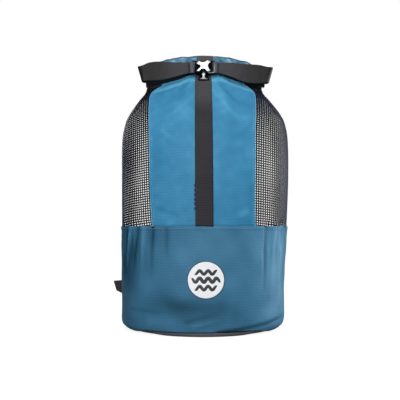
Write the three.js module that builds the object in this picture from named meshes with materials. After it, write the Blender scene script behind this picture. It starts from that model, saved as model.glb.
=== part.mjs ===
// A roll-top backpack for dive gear: a blue cloth base, blue front and back panels with a black webbing down
// the middle, open mesh sides, and a mouth that is rolled down, folded forward at both ends and buckled.
// Millimetres, +Z up. The origin is the middle of the floor panel, and the front of the bag faces -Y.
import * as THREE from "three";

// The bag's body
const BAG_WIDTH = 334;
const BAG_DEPTH = 272;
const BASE_HEIGHT = 197; // the seam between the base and the upper panels
const NECK_HEIGHT = 473; // where the body enters the roll, at its two ends
const FLOOR_RIM = 7; // how far the floor panel turns up
const CLOTH = 1.6;
const GAP = 0.3; // between pieces that are sewn or lie together

// Panels and webbing on the body
const PANEL_LEFT = 103; // the front panel's reach from the middle, to the wearer's right
const PANEL_RIGHT = 94;
const BACK_PANEL_HALF = 100;
const STRIP_WIDTH = 32;
const STRIP_SHIFT = -3.5; // the webbing's middle, along X
const STRIP_THICKNESS = 1.8;
const PATCH_DIAMETER = 65;
const PATCH_RISE = 101; // height of the patch's middle
const PATCH_THICKNESS = 1.2;

// The rolled mouth
const ROLL_LENGTH = 236;
const ROLL_HEIGHT = 43; // at its middle
const ROLL_END_HEIGHT = 41;
const ROLL_DEPTH = 36;
const ROLL_SETBACK = -9; // the roll's and the neck's middle, along Y
const ROLL_SINK = 3.4; // how far the roll's line is below the neck's edge at its middle
const ROLL_END_SINK = 2.5;
const NECK_LIFT = 24.5; // how much higher the neck's edge stands at the middle than at its ends
const ROLL_CLOTH = 2.4; // cloth and seam, wound together
const ROLL_PITCH = 3.6; // from one turn to the next

// The closing bands, folded forward at the ends of the roll
const BAND_HEIGHT = 36;
const BAND_THICKNESS = 2.6;
const BAND_FOLD = 10.5; // how far the fold stands out past the roll
const FOLD_RADIUS = 7;
const FOLD_SLANT = 0.28; // how far the fold leans out, for each millimetre up

// The buckle
const BUCKLE_LIFT = 35; // the frames' middle above the neck's ends
const BUCKLE_SHIFT = -3.5;
const BUCKLE_GAP = 1.6; // from the webbing on the roll to the buckle's back
const FRAME_HEIGHT = 27;
const FRAME_THICKNESS = 5;
const FRAME_BAR = 3;
const FRAME_WALL = 2;
const BUCKLE_SPAN = 46; // from the outer face of one bar to the other
const BUCKLE_JOIN = 11; // half the width of the joined middle
const LOOP_THICKNESS = 1.5;
const LOOP_LENGTH = 9;
const CROSS_WIDTH = 28;
const CROSS_HEIGHT = 22;
const CROSS_THICKNESS = 3;
const CROSS_LIFT = 2; // the cross's middle above the frames' middle
const LATCH_WIDTH = 22;
const LATCH_HEIGHT = 23;
const LATCH_THICKNESS = 6;
const LATCH_DROP = 16.5; // from the frames' middle down to the latch's middle

// The shoulder straps on the back
const PAD_WIDTH = 58;
const PAD_END_WIDTH = 38;
const PAD_THICKNESS = 7;
const WEB_WIDTH = 25;
const WEB_THICKNESS = 2;
const SLIDE_LENGTH = 13;
const SLIDE_WALL = 2.5;
const TAB_ROOT = 36; // height of the anchor tab where it is sewn on
const TAB_TIP = 20;
const TAB_LENGTH = 34;
const TAB_THICKNESS = 4;
const TAB_RISE = 68;
const TAB_CLEAR = 0.8; // from the wall to the tab, which meets it at a slant
const WEB_OFF = 4; // the webbing's middle from the wall, at the tab
const WEB_LEVEL = 22; // how far the webbing runs straight on from the pad

const DEG = Math.PI / 180;
const HALF_WIDTH = BAG_WIDTH / 2;
const HALF_DEPTH = BAG_DEPTH / 2;
const BUCKLE_RISE = NECK_HEIGHT + BUCKLE_LIFT;

// The body's horizontal sections. at is a share of NECK_HEIGHT, half and shift are shares of HALF_WIDTH, and
// front and back are shares of HALF_DEPTH. power 2 is an ellipse, and more is squarer. pleat is how far the
// side is tucked in at the gusset, as a share of HALF_WIDTH. lean is a share of ROLL_SETBACK.
const SECTIONS = [
  { at: 0.0, half: 0.885, shift: -0.033, front: 0.975, back: 0.93, power: 1.95, pleat: 0, lean: 0 },
  { at: 0.013, half: 0.937, shift: -0.033, front: 0.99, back: 0.965, power: 2.1, pleat: 0, lean: 0 },
  { at: 0.032, half: 0.958, shift: -0.033, front: 0.995, back: 0.98, power: 2.22, pleat: 0, lean: 0 },
  { at: 0.085, half: 0.965, shift: -0.033, front: 1.0, back: 0.99, power: 2.3, pleat: 0, lean: 0 },
  { at: 0.21, half: 0.968, shift: -0.028, front: 1.005, back: 0.99, power: 2.3, pleat: 0, lean: 0 },
  { at: 0.416, half: 0.981, shift: -0.014, front: 1.0, back: 0.99, power: 2.3, pleat: 0, lean: 0 },
  { at: 0.613, half: 0.995, shift: -0.004, front: 0.985, back: 0.97, power: 2.3, pleat: 0, lean: 0 },
  { at: 0.78, half: 0.994, shift: -0.004, front: 0.925, back: 0.9, power: 2.25, pleat: 0, lean: 0 },
  { at: 0.848, half: 0.968, shift: -0.004, front: 0.825, back: 0.8, power: 2.2, pleat: 0.01, lean: 0 },
  { at: 0.882, half: 0.934, shift: -0.006, front: 0.71, back: 0.7, power: 2.15, pleat: 0.025, lean: 0.05 },
  { at: 0.915, half: 0.885, shift: -0.01, front: 0.565, back: 0.57, power: 2.1, pleat: 0.05, lean: 0.2 },
  { at: 0.949, half: 0.825, shift: -0.015, front: 0.36, back: 0.39, power: 2.05, pleat: 0.08, lean: 0.5 },
  { at: 0.975, half: 0.775, shift: -0.015, front: 0.175, back: 0.2, power: 2.0, pleat: 0.105, lean: 0.85 },
  { at: 1.0, half: 0.755, shift: -0.012, front: 0.05, back: 0.05, power: 2.0, pleat: 0.12, lean: 1 },
];
const PLEAT_SPREAD = 15; // degrees of turn over which the gusset is tucked in

// How the panels' left and right edges run, as shares of their reach. at is a share of NECK_HEIGHT.
const PANEL_EDGES = [
  { at: 0.416, left: 0.948, right: 0.948 },
  { at: 0.6, left: 0.99, right: 0.958 },
  { at: 0.8, left: 1.02, right: 0.972 },
  { at: 0.88, left: 1.045, right: 1.005 },
  { at: 0.91, left: 1.055, right: 1.02 },
  { at: 0.95, left: 1.05, right: 1.025 },
  { at: 0.975, left: 0.985, right: 0.965 },
  { at: 1.0, left: 0.84, right: 0.83 },
];

// The roll's line from its middle to its ends. at is a share of half its length, top is how far its top has
// come down, and bottom is how far its underside has, both as shares of their drop at the ends.
const ROLL_LINE = [
  { at: 0, top: 0, bottom: 0 },
  { at: 0.25, top: 0.04, bottom: 0.055 },
  { at: 0.33, top: 0.08, bottom: 0.2 },
  { at: 0.42, top: 0.14, bottom: 0.42 },
  { at: 0.57, top: 0.26, bottom: 0.62 },
  { at: 0.75, top: 0.5, bottom: 0.87 },
  { at: 1, top: 1, bottom: 1 },
];

// The closing bands from the buckle to the fold. at is a share of the way, left and right are how far each
// band's middle lies below the buckle's, and height is the band's, all three as shares of BAND_HEIGHT.
const BAND_LINE = [
  { at: 0, left: 0.02, right: 0.02, height: 0.61 },
  { at: 0.25, left: 0.09, right: 0.12, height: 0.78 },
  { at: 0.55, left: 0.17, right: 0.3, height: 1.0 },
  { at: 0.82, left: 0.22, right: 0.37, height: 1.04 },
  { at: 1, left: 0.33, right: 0.39, height: 0.86 },
];

// The main folds of the cloth: each runs from one point to another, given as a turn from the front's middle
// in degrees and a height as a share of NECK_HEIGHT. width and depth are shares of FOLD_WIDTH and
// FOLD_DEPTH, and a negative depth stands out.
const FOLD_WIDTH = 10;
const FOLD_DEPTH = 4;
const FOLDS = [
  { from: [-66, 0.42], to: [-70, 0.3], width: 1.0, depth: 1.2 },
  { from: [-56, 0.42], to: [-66, 0.22], width: 0.8, depth: -0.7 },
  { from: [-47, 0.42], to: [-50, 0.31], width: 0.9, depth: 0.9 },
  { from: [-37, 0.42], to: [-37, 0.33], width: 0.8, depth: 0.6 },
  { from: [44, 0.42], to: [43, 0.32], width: 0.8, depth: 0.8 },
  { from: [53, 0.42], to: [54, 0.3], width: 0.8, depth: -0.7 },
  { from: [62, 0.42], to: [61, 0.32], width: 0.8, depth: 1.0 },
  { from: [4, 0.1], to: [24, 0.05], width: 1.8, depth: 0.8 },
  { from: [-30, 0.13], to: [-8, 0.09], width: 1.8, depth: 0.7 },
  { from: [-14, 0.97], to: [-36, 0.93], width: 1.1, depth: -0.8 },
  { from: [12, 0.98], to: [38, 0.92], width: 1.1, depth: -0.9 },
];

// The centre line of a shoulder pad on the back: height as a share of NECK_HEIGHT, reach from the middle as a
// share of BACK_PANEL_HALF, and how far it stands off the back as a share of PAD_STANDOFF.
const PAD_STANDOFF = 46;
const PAD_ROUTE = [
  { at: 0.93, reach: 0.5, off: 0 },
  { at: 0.875, reach: 0.53, off: 0.22 },
  { at: 0.79, reach: 0.57, off: 0.72 },
  { at: 0.68, reach: 0.62, off: 1.0 },
  { at: 0.57, reach: 0.67, off: 0.9 },
  { at: 0.48, reach: 0.7, off: 0.62 },
  { at: 0.44, reach: 0.71, off: 0.46 },
];

// Where the anchor tab is sewn on and where it points, in degrees of turn from the front's middle. The left
// one sticks out sideways, and the right one stands further round the back.
const ANCHORS = [
  { side: "left", sewn: -112, points: -92 },
  { side: "right", sewn: 126, points: 135 },
];

const COLOURS = {
  panel: 0x3f86ad,
  base: 0x3a6c8c,
  mesh: 0x1b1c20,
  webbing: 0x38373c,
  band: 0x2b2b2e,
  floor: 0x35313a,
  plastic: 0x111214,
  alloy: 0xd9dadc,
  patch: 0xe8eaee,
};

function material(colour, roughness = 0.85, metalness = 0) {
  return new THREE.MeshStandardMaterial({ color: colour, roughness, metalness });
}

function mix(a, b, share) {
  return a + (b - a) * share;
}

function smooth(value, low, high) {
  return THREE.MathUtils.smoothstep(value, low, high);
}

function signedPower(value, power) {
  return Math.sign(value) * Math.abs(value) ** power;
}

// A column of a table, read at a share between its rows along a smooth curve through them.
function read(table, column, at) {
  const last = table.length - 1;
  let i = 0;
  while (i < last - 1 && at > table[i + 1].at) i += 1;
  const slope = (k) => {
    const before = table[Math.max(k - 1, 0)];
    const after = table[Math.min(k + 1, last)];
    return (after[column] - before[column]) / (after.at - before.at);
  };
  const low = table[i];
  const high = table[i + 1];
  const span = high.at - low.at;
  const t = THREE.MathUtils.clamp((at - low.at) / span, 0, 1);
  return (
    low[column] * (1 + 2 * t) * (1 - t) ** 2 +
    high[column] * t * t * (3 - 2 * t) +
    span * (slope(i) * t * (1 - t) ** 2 - slope(i + 1) * t * t * (1 - t))
  );
}

// How far the cloth stands in from the plain body at a turn and a height, because of the folds.
function foldDepth(turn, height) {
  const alongGirth = (BAG_WIDTH + BAG_DEPTH) / 4;
  let sum = 0;
  for (const fold of FOLDS) {
    const start = new THREE.Vector2(fold.from[0] * DEG * alongGirth, fold.from[1] * NECK_HEIGHT);
    const end = new THREE.Vector2(fold.to[0] * DEG * alongGirth, fold.to[1] * NECK_HEIGHT);
    const here = new THREE.Vector2(turn * alongGirth, height);
    const run = end.clone().sub(start);
    const share = THREE.MathUtils.clamp(here.clone().sub(start).dot(run) / run.lengthSq(), 0, 1);
    const away = here.distanceTo(start.addScaledVector(run, share)) / (fold.width * FOLD_WIDTH);
    sum += fold.depth * FOLD_DEPTH * (1 - share ** 2) * Math.exp(-away * away);
  }
  return sum;
}

function section(height) {
  const at = height / NECK_HEIGHT;
  return {
    half: HALF_WIDTH * read(SECTIONS, "half", at),
    shift: HALF_WIDTH * read(SECTIONS, "shift", at),
    front: HALF_DEPTH * read(SECTIONS, "front", at),
    back: HALF_DEPTH * read(SECTIONS, "back", at),
    power: read(SECTIONS, "power", at),
    pleat: HALF_WIDTH * read(SECTIONS, "pleat", at),
    lean: ROLL_SETBACK * read(SECTIONS, "lean", at),
  };
}

function rollLine(column, x) {
  return read(ROLL_LINE, column, Math.min(1, Math.abs(x) / (ROLL_LENGTH / 2)));
}

function neckLift(x) {
  return NECK_LIFT * (1 - rollLine("bottom", x));
}

// The outer face of the body's cloth. turn is 0 at the front's middle and a quarter turn at the +X side.
function skin(turn, height) {
  const s = section(height);
  const across = Math.sin(turn);
  const along = Math.cos(turn);
  const fromSide = (Math.abs(Math.atan2(across, along)) / DEG - 90) / PLEAT_SPREAD;
  const tuck = s.pleat * Math.exp(-fromSide * fromSide);
  const fold = foldDepth(Math.atan2(across, along), height);
  const x = s.shift + s.half * signedPower(across, 2 / s.power) - Math.sign(across) * tuck - across * fold;
  const y = s.lean - (along >= 0 ? s.front : s.back) * signedPower(along, 2 / s.power) + along * fold;
  const rising = smooth(height, 0.85 * NECK_HEIGHT, NECK_HEIGHT);
  return new THREE.Vector3(x, y, height + neckLift(x) * rising);
}

function skinNormal(turn, height) {
  const step = 0.01;
  const low = Math.max(0, height - 0.5);
  const high = Math.min(NECK_HEIGHT, height + 0.5);
  const girth = skin(turn + step, height).sub(skin(turn - step, height));
  const rise = skin(turn, high).sub(skin(turn, low));
  return girth.cross(rise).normalize();
}

// A point at a distance outside the body's outer face.
function overSkin(turn, height, distance) {
  return skin(turn, height).addScaledVector(skinNormal(turn, height), distance);
}

// The turn at which the body is at x, on the front or on the back.
function turnAt(x, height, onBack = false) {
  const s = section(height);
  const share = THREE.MathUtils.clamp((x - s.shift) / s.half, -1, 1);
  const turn = Math.asin(signedPower(share, s.power / 2));
  return onBack ? Math.PI - turn : turn;
}

function panelTurn(reach, height, onBack = false) {
  const side = reach < 0 ? "left" : "right";
  return turnAt(reach * read(PANEL_EDGES, side, height / NECK_HEIGHT), height, onBack);
}

// A closed sheet between an outer and an inner face, each given at shares u and v. columns and rows are the
// shares at which it has points. A ring joins its last column to its first.
function sheet(columns, rows, outer, inner, ring = false) {
  const across = columns.length;
  const up = rows.length;
  const positions = [];
  for (const face of [outer, inner])
    for (const v of rows) for (const u of columns) positions.push(...face(u, v).toArray());
  const at = (i, j, side) => side * across * up + j * across + (i % across);
  const quads = [];
  const wide = ring ? across : across - 1;
  for (let j = 0; j < up - 1; j += 1)
    for (let i = 0; i < wide; i += 1) {
      quads.push([at(i, j, 0), at(i + 1, j, 0), at(i + 1, j + 1, 0), at(i, j + 1, 0)]);
      quads.push([at(i, j, 1), at(i, j + 1, 1), at(i + 1, j + 1, 1), at(i + 1, j, 1)]);
    }
  for (let i = 0; i < wide; i += 1) {
    quads.push([at(i, 0, 1), at(i + 1, 0, 1), at(i + 1, 0, 0), at(i, 0, 0)]);
    quads.push([at(i, up - 1, 0), at(i + 1, up - 1, 0), at(i + 1, up - 1, 1), at(i, up - 1, 1)]);
  }
  if (!ring)
    for (let j = 0; j < up - 1; j += 1) {
      quads.push([at(0, j, 0), at(0, j + 1, 0), at(0, j + 1, 1), at(0, j, 1)]);
      quads.push([at(wide, j, 1), at(wide, j + 1, 1), at(wide, j + 1, 0), at(wide, j, 0)]);
    }
  return facingOut(positions, quads);
}

// A closed geometry from corner positions and four-sided faces, turned so that its faces point out.
function facingOut(positions, quads) {
  const corner = (k) => new THREE.Vector3().fromArray(positions, 3 * k);
  const triangles = quads.flatMap(([a, b, c, d]) => (d === undefined ? [[a, b, c]] : [[a, b, c], [a, c, d]]));
  const volume = triangles.reduce((sum, [a, b, c]) => sum + corner(a).dot(corner(b).cross(corner(c))), 0);
  const index = triangles.flatMap(([a, b, c]) => (volume > 0 ? [a, b, c] : [a, c, b]));
  const geometry = new THREE.BufferGeometry();
  geometry.setAttribute("position", new THREE.Float32BufferAttribute(positions, 3));
  geometry.setIndex(index);
  geometry.computeVertexNormals();
  return geometry;
}

function shares(count) {
  return Array.from({ length: count + 1 }, (_, i) => i / count);
}

function steps(from, to, count) {
  return shares(count).map((share) => mix(from, to, share));
}

// A flat ribbon along a route of points, each with its own outward direction, width and thickness.
function ribbon(route) {
  const corners = route.map(({ point, out, width, thickness }, i) => {
    const before = route[Math.max(i - 1, 0)].point;
    const after = route[Math.min(i + 1, route.length - 1)].point;
    const forward = after.clone().sub(before).normalize();
    const side = forward.clone().cross(out).normalize();
    const lift = side.clone().cross(forward).normalize();
    return [-1, 1].flatMap((s) =>
      [-1, 1].map((t) =>
        point
          .clone()
          .addScaledVector(side, (s * width) / 2)
          .addScaledVector(lift, (s * t * thickness) / 2),
      ),
    );
  });
  const positions = corners.flat().flatMap((p) => p.toArray());
  const quads = [[0, 1, 2, 3]];
  for (let i = 0; i < route.length - 1; i += 1)
    for (let k = 0; k < 4; k += 1) {
      const next = (k + 1) % 4;
      quads.push([4 * i + k, 4 * i + 4 + k, 4 * i + 4 + next, 4 * i + next]);
    }
  const end = 4 * (route.length - 1);
  quads.push([end + 3, end + 2, end + 1, end]);
  return facingOut(positions, quads);
}

// A flat part drawn in X and Z, with a thickness along Y, whose back lies at y.
function plate(shape, thickness, backY, bevel = 0) {
  const geometry = new THREE.ExtrudeGeometry(shape, {
    depth: thickness - 2 * bevel,
    bevelEnabled: bevel > 0,
    bevelSize: bevel,
    bevelThickness: bevel,
    bevelOffset: -bevel,
    bevelSegments: 1,
    curveSegments: 4,
  });
  geometry.rotateX(Math.PI / 2);
  geometry.translate(0, backY - bevel, 0);
  return geometry;
}

function addRectangle(path, low, high, bottom, top, corner) {
  path.moveTo(low + corner, bottom);
  path.lineTo(high - corner, bottom);
  path.quadraticCurveTo(high, bottom, high, bottom + corner);
  path.lineTo(high, top - corner);
  path.quadraticCurveTo(high, top, high - corner, top);
  path.lineTo(low + corner, top);
  path.quadraticCurveTo(low, top, low, top - corner);
  path.lineTo(low, bottom + corner);
  path.quadraticCurveTo(low, bottom, low + corner, bottom);
  return path;
}

const bag = new THREE.Group();

function add(name, geometry, look) {
  const mesh = new THREE.Mesh(geometry, look);
  mesh.name = name;
  bag.add(mesh);
  return mesh;
}

const panelLook = material(COLOURS.panel, 0.7);
const baseLook = material(COLOURS.base, 0.7);
const meshLook = material(COLOURS.mesh);
const webbingLook = material(COLOURS.webbing);
const bandLook = material(COLOURS.band);
const floorLook = material(COLOURS.floor);
const plasticLook = material(COLOURS.plastic, 0.35);
const alloyLook = material(COLOURS.alloy, 0.3, 0.8);
const patchLook = material(COLOURS.patch, 0.6);

// The base: a wall of cloth all round, from the floor's rim to the seam
function baseWall() {
  const heights = [FLOOR_RIM + GAP, 0.08, 0.16, 0.32, 0.52, 0.7, 0.85, 1].map((h, i) =>
    i ? h * BASE_HEIGHT : h,
  );
  const columns = shares(72).slice(0, -1);
  const face = (distance) => (u, height) => overSkin(u * 2 * Math.PI, height, distance);
  return sheet(columns, heights, face(0), face(-CLOTH), true);
}

// The floor: a flat panel whose rim turns up to the base's lower edge
function floorPanel() {
  const columns = shares(48).slice(0, -1);
  const rise = [0, 0.25, 0.6, 1].map((share) => share * FLOOR_RIM);
  const rings = [
    ...rise.map((height) => columns.map((u) => skin(u * 2 * Math.PI, height))),
    ...rise.map((height) => columns.map((u) => overSkin(u * 2 * Math.PI, height, -CLOTH))).reverse(),
  ];
  for (const point of rings.at(-1)) point.z = CLOTH;
  const positions = rings.flat().flatMap((p) => p.toArray());
  const count = columns.length;
  const quads = [];
  for (let j = 0; j < rings.length - 1; j += 1)
    for (let i = 0; i < count; i += 1) {
      const next = (i + 1) % count;
      quads.push([j * count + i, j * count + next, (j + 1) * count + next, (j + 1) * count + i]);
    }
  const under = rings.length * count;
  const shift = section(0).shift;
  positions.push(shift, 0, 0, shift, 0, CLOTH);
  const top = (rings.length - 1) * count;
  for (let i = 0; i < count; i += 1) {
    const next = (i + 1) % count;
    quads.push([under, next, i]);
    quads.push([under + 1, top + i, top + next]);
  }
  return facingOut(positions, quads);
}

// One upper panel between two edges, each a function that gives its turn at a height
const PANEL_ROWS = [0, 0.22, 0.45, 0.64, 0.75, 0.82, 0.88, 0.93, 0.965, 0.985, 1];

function upperPanel(count, fromTurn, toTurn) {
  const bottom = BASE_HEIGHT + GAP;
  const heights = PANEL_ROWS.map((share) => mix(bottom, NECK_HEIGHT, share));
  const face = (distance) => (u, height) =>
    overSkin(mix(fromTurn(height), toTurn(height), u), height, distance);
  return sheet(shares(count), heights, face(0), face(-CLOTH));
}

// The turn that lies a distance further round the body
function further(turn, height, distance) {
  const perTurn = skin(turn + 0.01, height).distanceTo(skin(turn - 0.01, height)) / 0.02;
  return turn + distance / perTurn;
}

const frontLeft = (height) => panelTurn(-PANEL_LEFT, height);
const frontRight = (height) => panelTurn(PANEL_RIGHT, height);
const backLeft = (height) => panelTurn(-BACK_PANEL_HALF, height, true);
const backRight = (height) => panelTurn(BACK_PANEL_HALF, height, true);

add("base_wall", baseWall(), baseLook);
add("floor_panel", floorPanel(), floorLook);
add("front_panel", upperPanel(12, frontLeft, frontRight), panelLook);
add("back_panel", upperPanel(12, backRight, backLeft), panelLook);
add(
  "mesh_right",
  upperPanel(
    16,
    (height) => further(frontRight(height), height, GAP),
    (height) => further(backRight(height), height, -GAP),
  ),
  meshLook,
);
add(
  "mesh_left",
  upperPanel(
    16,
    (height) => further(backLeft(height), height, GAP),
    (height) => further(2 * Math.PI + frontLeft(height), height, -GAP),
  ),
  meshLook,
);

// The black webbing down the middle of the front and of the back
function middleStrip(onBack) {
  const rows = PANEL_ROWS.slice(0, -1);
  const heights = rows.map((share) => mix(BASE_HEIGHT + GAP, NECK_HEIGHT, share));
  const face = (distance) => (u, height) => {
    const turn = turnAt(STRIP_SHIFT + (u - 0.5) * STRIP_WIDTH, height, onBack);
    return overSkin(turn, height, distance);
  };
  return sheet(shares(4), heights, face(GAP + STRIP_THICKNESS), face(GAP));
}

add("front_strip", middleStrip(false), webbingLook);
add("back_strip", middleStrip(true), webbingLook);

// The round patch on the base, which lies on the cloth's curve
function patch() {
  const radius = PATCH_DIAMETER / 2;
  const rings = [0.08, 0.55, 1];
  const spokes = shares(28).slice(0, -1);
  const face = (distance) => (u, v) => {
    const height = PATCH_RISE + v * radius * Math.sin(u * 2 * Math.PI);
    const turn = turnAt(v * radius * Math.cos(u * 2 * Math.PI), height);
    return overSkin(turn, height, distance);
  };
  const outer = face(GAP + PATCH_THICKNESS);
  const inner = face(GAP);
  const positions = [outer, inner].flatMap((side) => [
    ...rings.flatMap((v) => spokes.flatMap((u) => side(u, v).toArray())),
    ...side(0, 0).toArray(),
  ]);
  const count = spokes.length;
  const perFace = rings.length * count + 1;
  const quads = [];
  for (let i = 0; i < count; i += 1) {
    const next = (i + 1) % count;
    for (const side of [0, 1]) {
      const base = side * perFace;
      const turned = (face4) => (side ? face4.reverse() : face4);
      quads.push(turned([base + perFace - 1, base + i, base + next]));
      for (let j = 0; j < rings.length - 1; j += 1) {
        const here = base + j * count;
        quads.push(turned([here + i, here + count + i, here + count + next, here + next]));
      }
    }
    const rim = (rings.length - 1) * count;
    quads.push([rim + i, perFace + rim + i, perFace + rim + next, rim + next]);
  }
  return facingOut(positions, quads);
}

add("patch", patch(), patchLook);

// The roll: one wound sheet whose outer wrap is the back panel's blue cloth and whose inner turns are the
// mouth's black band. A place in the winding is an angle from the back of the roll, over its top.
const WRAP_START = -58; // degrees, where the wrap leaves the back panel's edge
const WRAP_END = 205; // low on the front
const BAND_TURNS_END = 510;

// The middle and half the height of the roll's section at x
function rollSection(x) {
  const sink = mix(ROLL_SINK, ROLL_END_SINK, rollLine("bottom", x));
  const bottom = NECK_HEIGHT + GAP + neckLift(x) - sink;
  const rise = NECK_LIFT + ROLL_HEIGHT - ROLL_END_HEIGHT;
  const top = NECK_HEIGHT + GAP + ROLL_END_HEIGHT + rise * (1 - rollLine("top", x)) - sink;
  return { middle: (top + bottom) / 2, half: (top - bottom) / 2 };
}

// A point of the roll: x along it, y from its middle, and z as a share of half its height
function rollPoint(x, y, z) {
  const { middle, half } = rollSection(x);
  return new THREE.Vector3(x, ROLL_SETBACK + y, middle + z * half);
}

function winding(degrees, distance) {
  const inward = (ROLL_PITCH * degrees) / 360 - distance;
  const depth = ROLL_DEPTH / 2 - inward;
  const height = 1 - inward / (ROLL_END_HEIGHT / 2);
  return [depth * Math.cos(degrees * DEG), height * Math.sin(degrees * DEG)];
}

function wound(places, halfLength, count, outward, inward, shift = 0) {
  const columns = shares(count).map((u) => shift + (2 * u - 1) * halfLength);
  const face = (distance) => (x, place) => rollPoint(x, ...winding(place, distance));
  return sheet(columns, places, face(outward), face(inward));
}

add(
  "roll_wrap",
  wound(steps(WRAP_START, WRAP_END, 16), ROLL_LENGTH / 2, 10, 0, -ROLL_CLOTH),
  panelLook,
);
add(
  "mouth_band",
  wound(steps(WRAP_END + 2, BAND_TURNS_END, 18), ROLL_LENGTH / 2, 10, 0, -ROLL_CLOTH),
  bandLook,
);
add(
  "roll_strip",
  wound(steps(WRAP_START + 15, WRAP_END, 15), STRIP_WIDTH / 2, 2, GAP + STRIP_THICKNESS, GAP, STRIP_SHIFT),
  webbingLook,
);

// The closing bands: each leaves the roll's end, folds forward and comes back to the buckle
const rollFront = ROLL_SETBACK - ROLL_DEPTH / 2;
const buckleBack = rollFront - GAP - STRIP_THICKNESS - BUCKLE_GAP;
const bandFront = buckleBack - FRAME_THICKNESS / 2;
const barX = BUCKLE_SPAN / 2 - FRAME_BAR / 2;
const loopHalf = FRAME_BAR / 2 + GAP + LOOP_THICKNESS;

function bandRoute(side, sign) {
  const foldX = ROLL_LENGTH / 2 + BAND_FOLD;
  const startX = foldX - FOLD_RADIUS;
  const endX = sign * BUCKLE_SHIFT + barX - loopHalf + LOOP_LENGTH + GAP;
  const sewnX = endX + 2 * BAND_THICKNESS; // the last of the band runs level
  const bend = (degrees) => ({
    x: startX + FOLD_RADIUS * Math.sin(degrees * DEG),
    y: bandFront + FOLD_RADIUS * (1 + Math.cos(degrees * DEG)),
    bend: degrees,
  });
  const rows = [
    { x: ROLL_LENGTH / 2 + GAP, y: bandFront + 2 * FOLD_RADIUS, bend: 0 },
    ...steps(0, 180, 6).map(bend),
    ...shares(8).slice(1).map((share) => ({ x: mix(startX, sewnX, share), y: bandFront, bend: 180 })),
    { x: endX, y: bandFront, bend: 180 },
  ];
  return rows.map((row) => {
    const at = row.bend < 180 ? 1 : (row.x - sewnX) / (startX - sewnX);
    return {
      point: new THREE.Vector3(sign * row.x, row.y, BUCKLE_RISE - BAND_HEIGHT * read(BAND_LINE, side, at)),
      out: new THREE.Vector3(sign * Math.sin(row.bend * DEG), Math.cos(row.bend * DEG), 0),
      width: BAND_HEIGHT * read(BAND_LINE, "height", at),
      thickness: BAND_THICKNESS,
    };
  });
}

function closureBand(side, sign) {
  const geometry = ribbon(bandRoute(side, sign));
  const place = geometry.getAttribute("position");
  const middle = BUCKLE_RISE - BAND_HEIGHT * BAND_LINE.at(-1)[side];
  for (let i = 0; i < place.count; i += 1) {
    const reach = smooth(Math.abs(place.getX(i)), ROLL_LENGTH / 2 + 1, ROLL_LENGTH / 2 + BAND_FOLD);
    const lean = FOLD_SLANT * (place.getZ(i) - middle) * reach;
    place.setX(i, place.getX(i) + sign * lean);
  }
  return geometry;
}

for (const [side, sign] of [["left", -1], ["right", 1]])
  add(`closure_band_${side}`, closureBand(side, sign), bandLook);

// The buckle: two dark frames with a bar for the webbing, a pale cross over their join, and a latch below
function buckleFrame(sign) {
  const shape = new THREE.Shape();
  const inner = GAP / 2;
  const outer = BUCKLE_SPAN / 2;
  addRectangle(shape, inner, outer, -FRAME_HEIGHT / 2, FRAME_HEIGHT / 2, 2);
  const slot = addRectangle(
    new THREE.Path(),
    BUCKLE_JOIN,
    outer - FRAME_BAR,
    FRAME_WALL - FRAME_HEIGHT / 2,
    FRAME_HEIGHT / 2 - FRAME_WALL,
    1,
  );
  shape.holes.push(slot);
  const geometry = plate(shape, FRAME_THICKNESS, buckleBack);
  if (sign < 0) geometry.rotateZ(Math.PI).translate(0, 2 * bandFront, 0);
  return geometry.translate(BUCKLE_SHIFT, 0, BUCKLE_RISE);
}

// The end of a band, sewn back on itself round the frame's bar
function webbingLoop(sign) {
  const halfY = FRAME_THICKNESS / 2 + GAP + LOOP_THICKNESS;
  const shape = new THREE.Shape();
  addRectangle(shape, -loopHalf, LOOP_LENGTH - loopHalf, -halfY, halfY, 2);
  const hole = addRectangle(
    new THREE.Path(),
    LOOP_THICKNESS - loopHalf,
    loopHalf - LOOP_THICKNESS,
    LOOP_THICKNESS - halfY,
    halfY - LOOP_THICKNESS,
    0.2,
  );
  shape.holes.push(hole);
  const height = FRAME_HEIGHT - 2 * FRAME_WALL - 2 * GAP;
  const geometry = new THREE.ExtrudeGeometry(shape, { depth: height, bevelEnabled: false, curveSegments: 2 });
  geometry.translate(barX, 0, -height / 2);
  if (sign < 0) geometry.rotateZ(Math.PI);
  return geometry.translate(BUCKLE_SHIFT, bandFront, BUCKLE_RISE);
}

function cross() {
  const w = CROSS_WIDTH / 2;
  const h = CROSS_HEIGHT / 2;
  const tip = 0.28 * h;
  const shape = new THREE.Shape();
  shape.moveTo(-w, h - tip);
  shape.lineTo(-w + tip, h);
  shape.quadraticCurveTo(0, 0.2 * h, w - tip, h);
  shape.lineTo(w, h - tip);
  shape.quadraticCurveTo(0.1 * w, 0, w, tip - h);
  shape.lineTo(w - tip, -h);
  shape.quadraticCurveTo(0, -0.6 * h, tip - w, -h);
  shape.lineTo(-w, tip - h);
  shape.quadraticCurveTo(-0.1 * w, 0, -w, h - tip);
  const frontOfFrame = buckleBack - FRAME_THICKNESS - GAP;
  const geometry = plate(shape, CROSS_THICKNESS, frontOfFrame, 0.5);
  return geometry.translate(BUCKLE_SHIFT, 0, BUCKLE_RISE + CROSS_LIFT);
}

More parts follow.
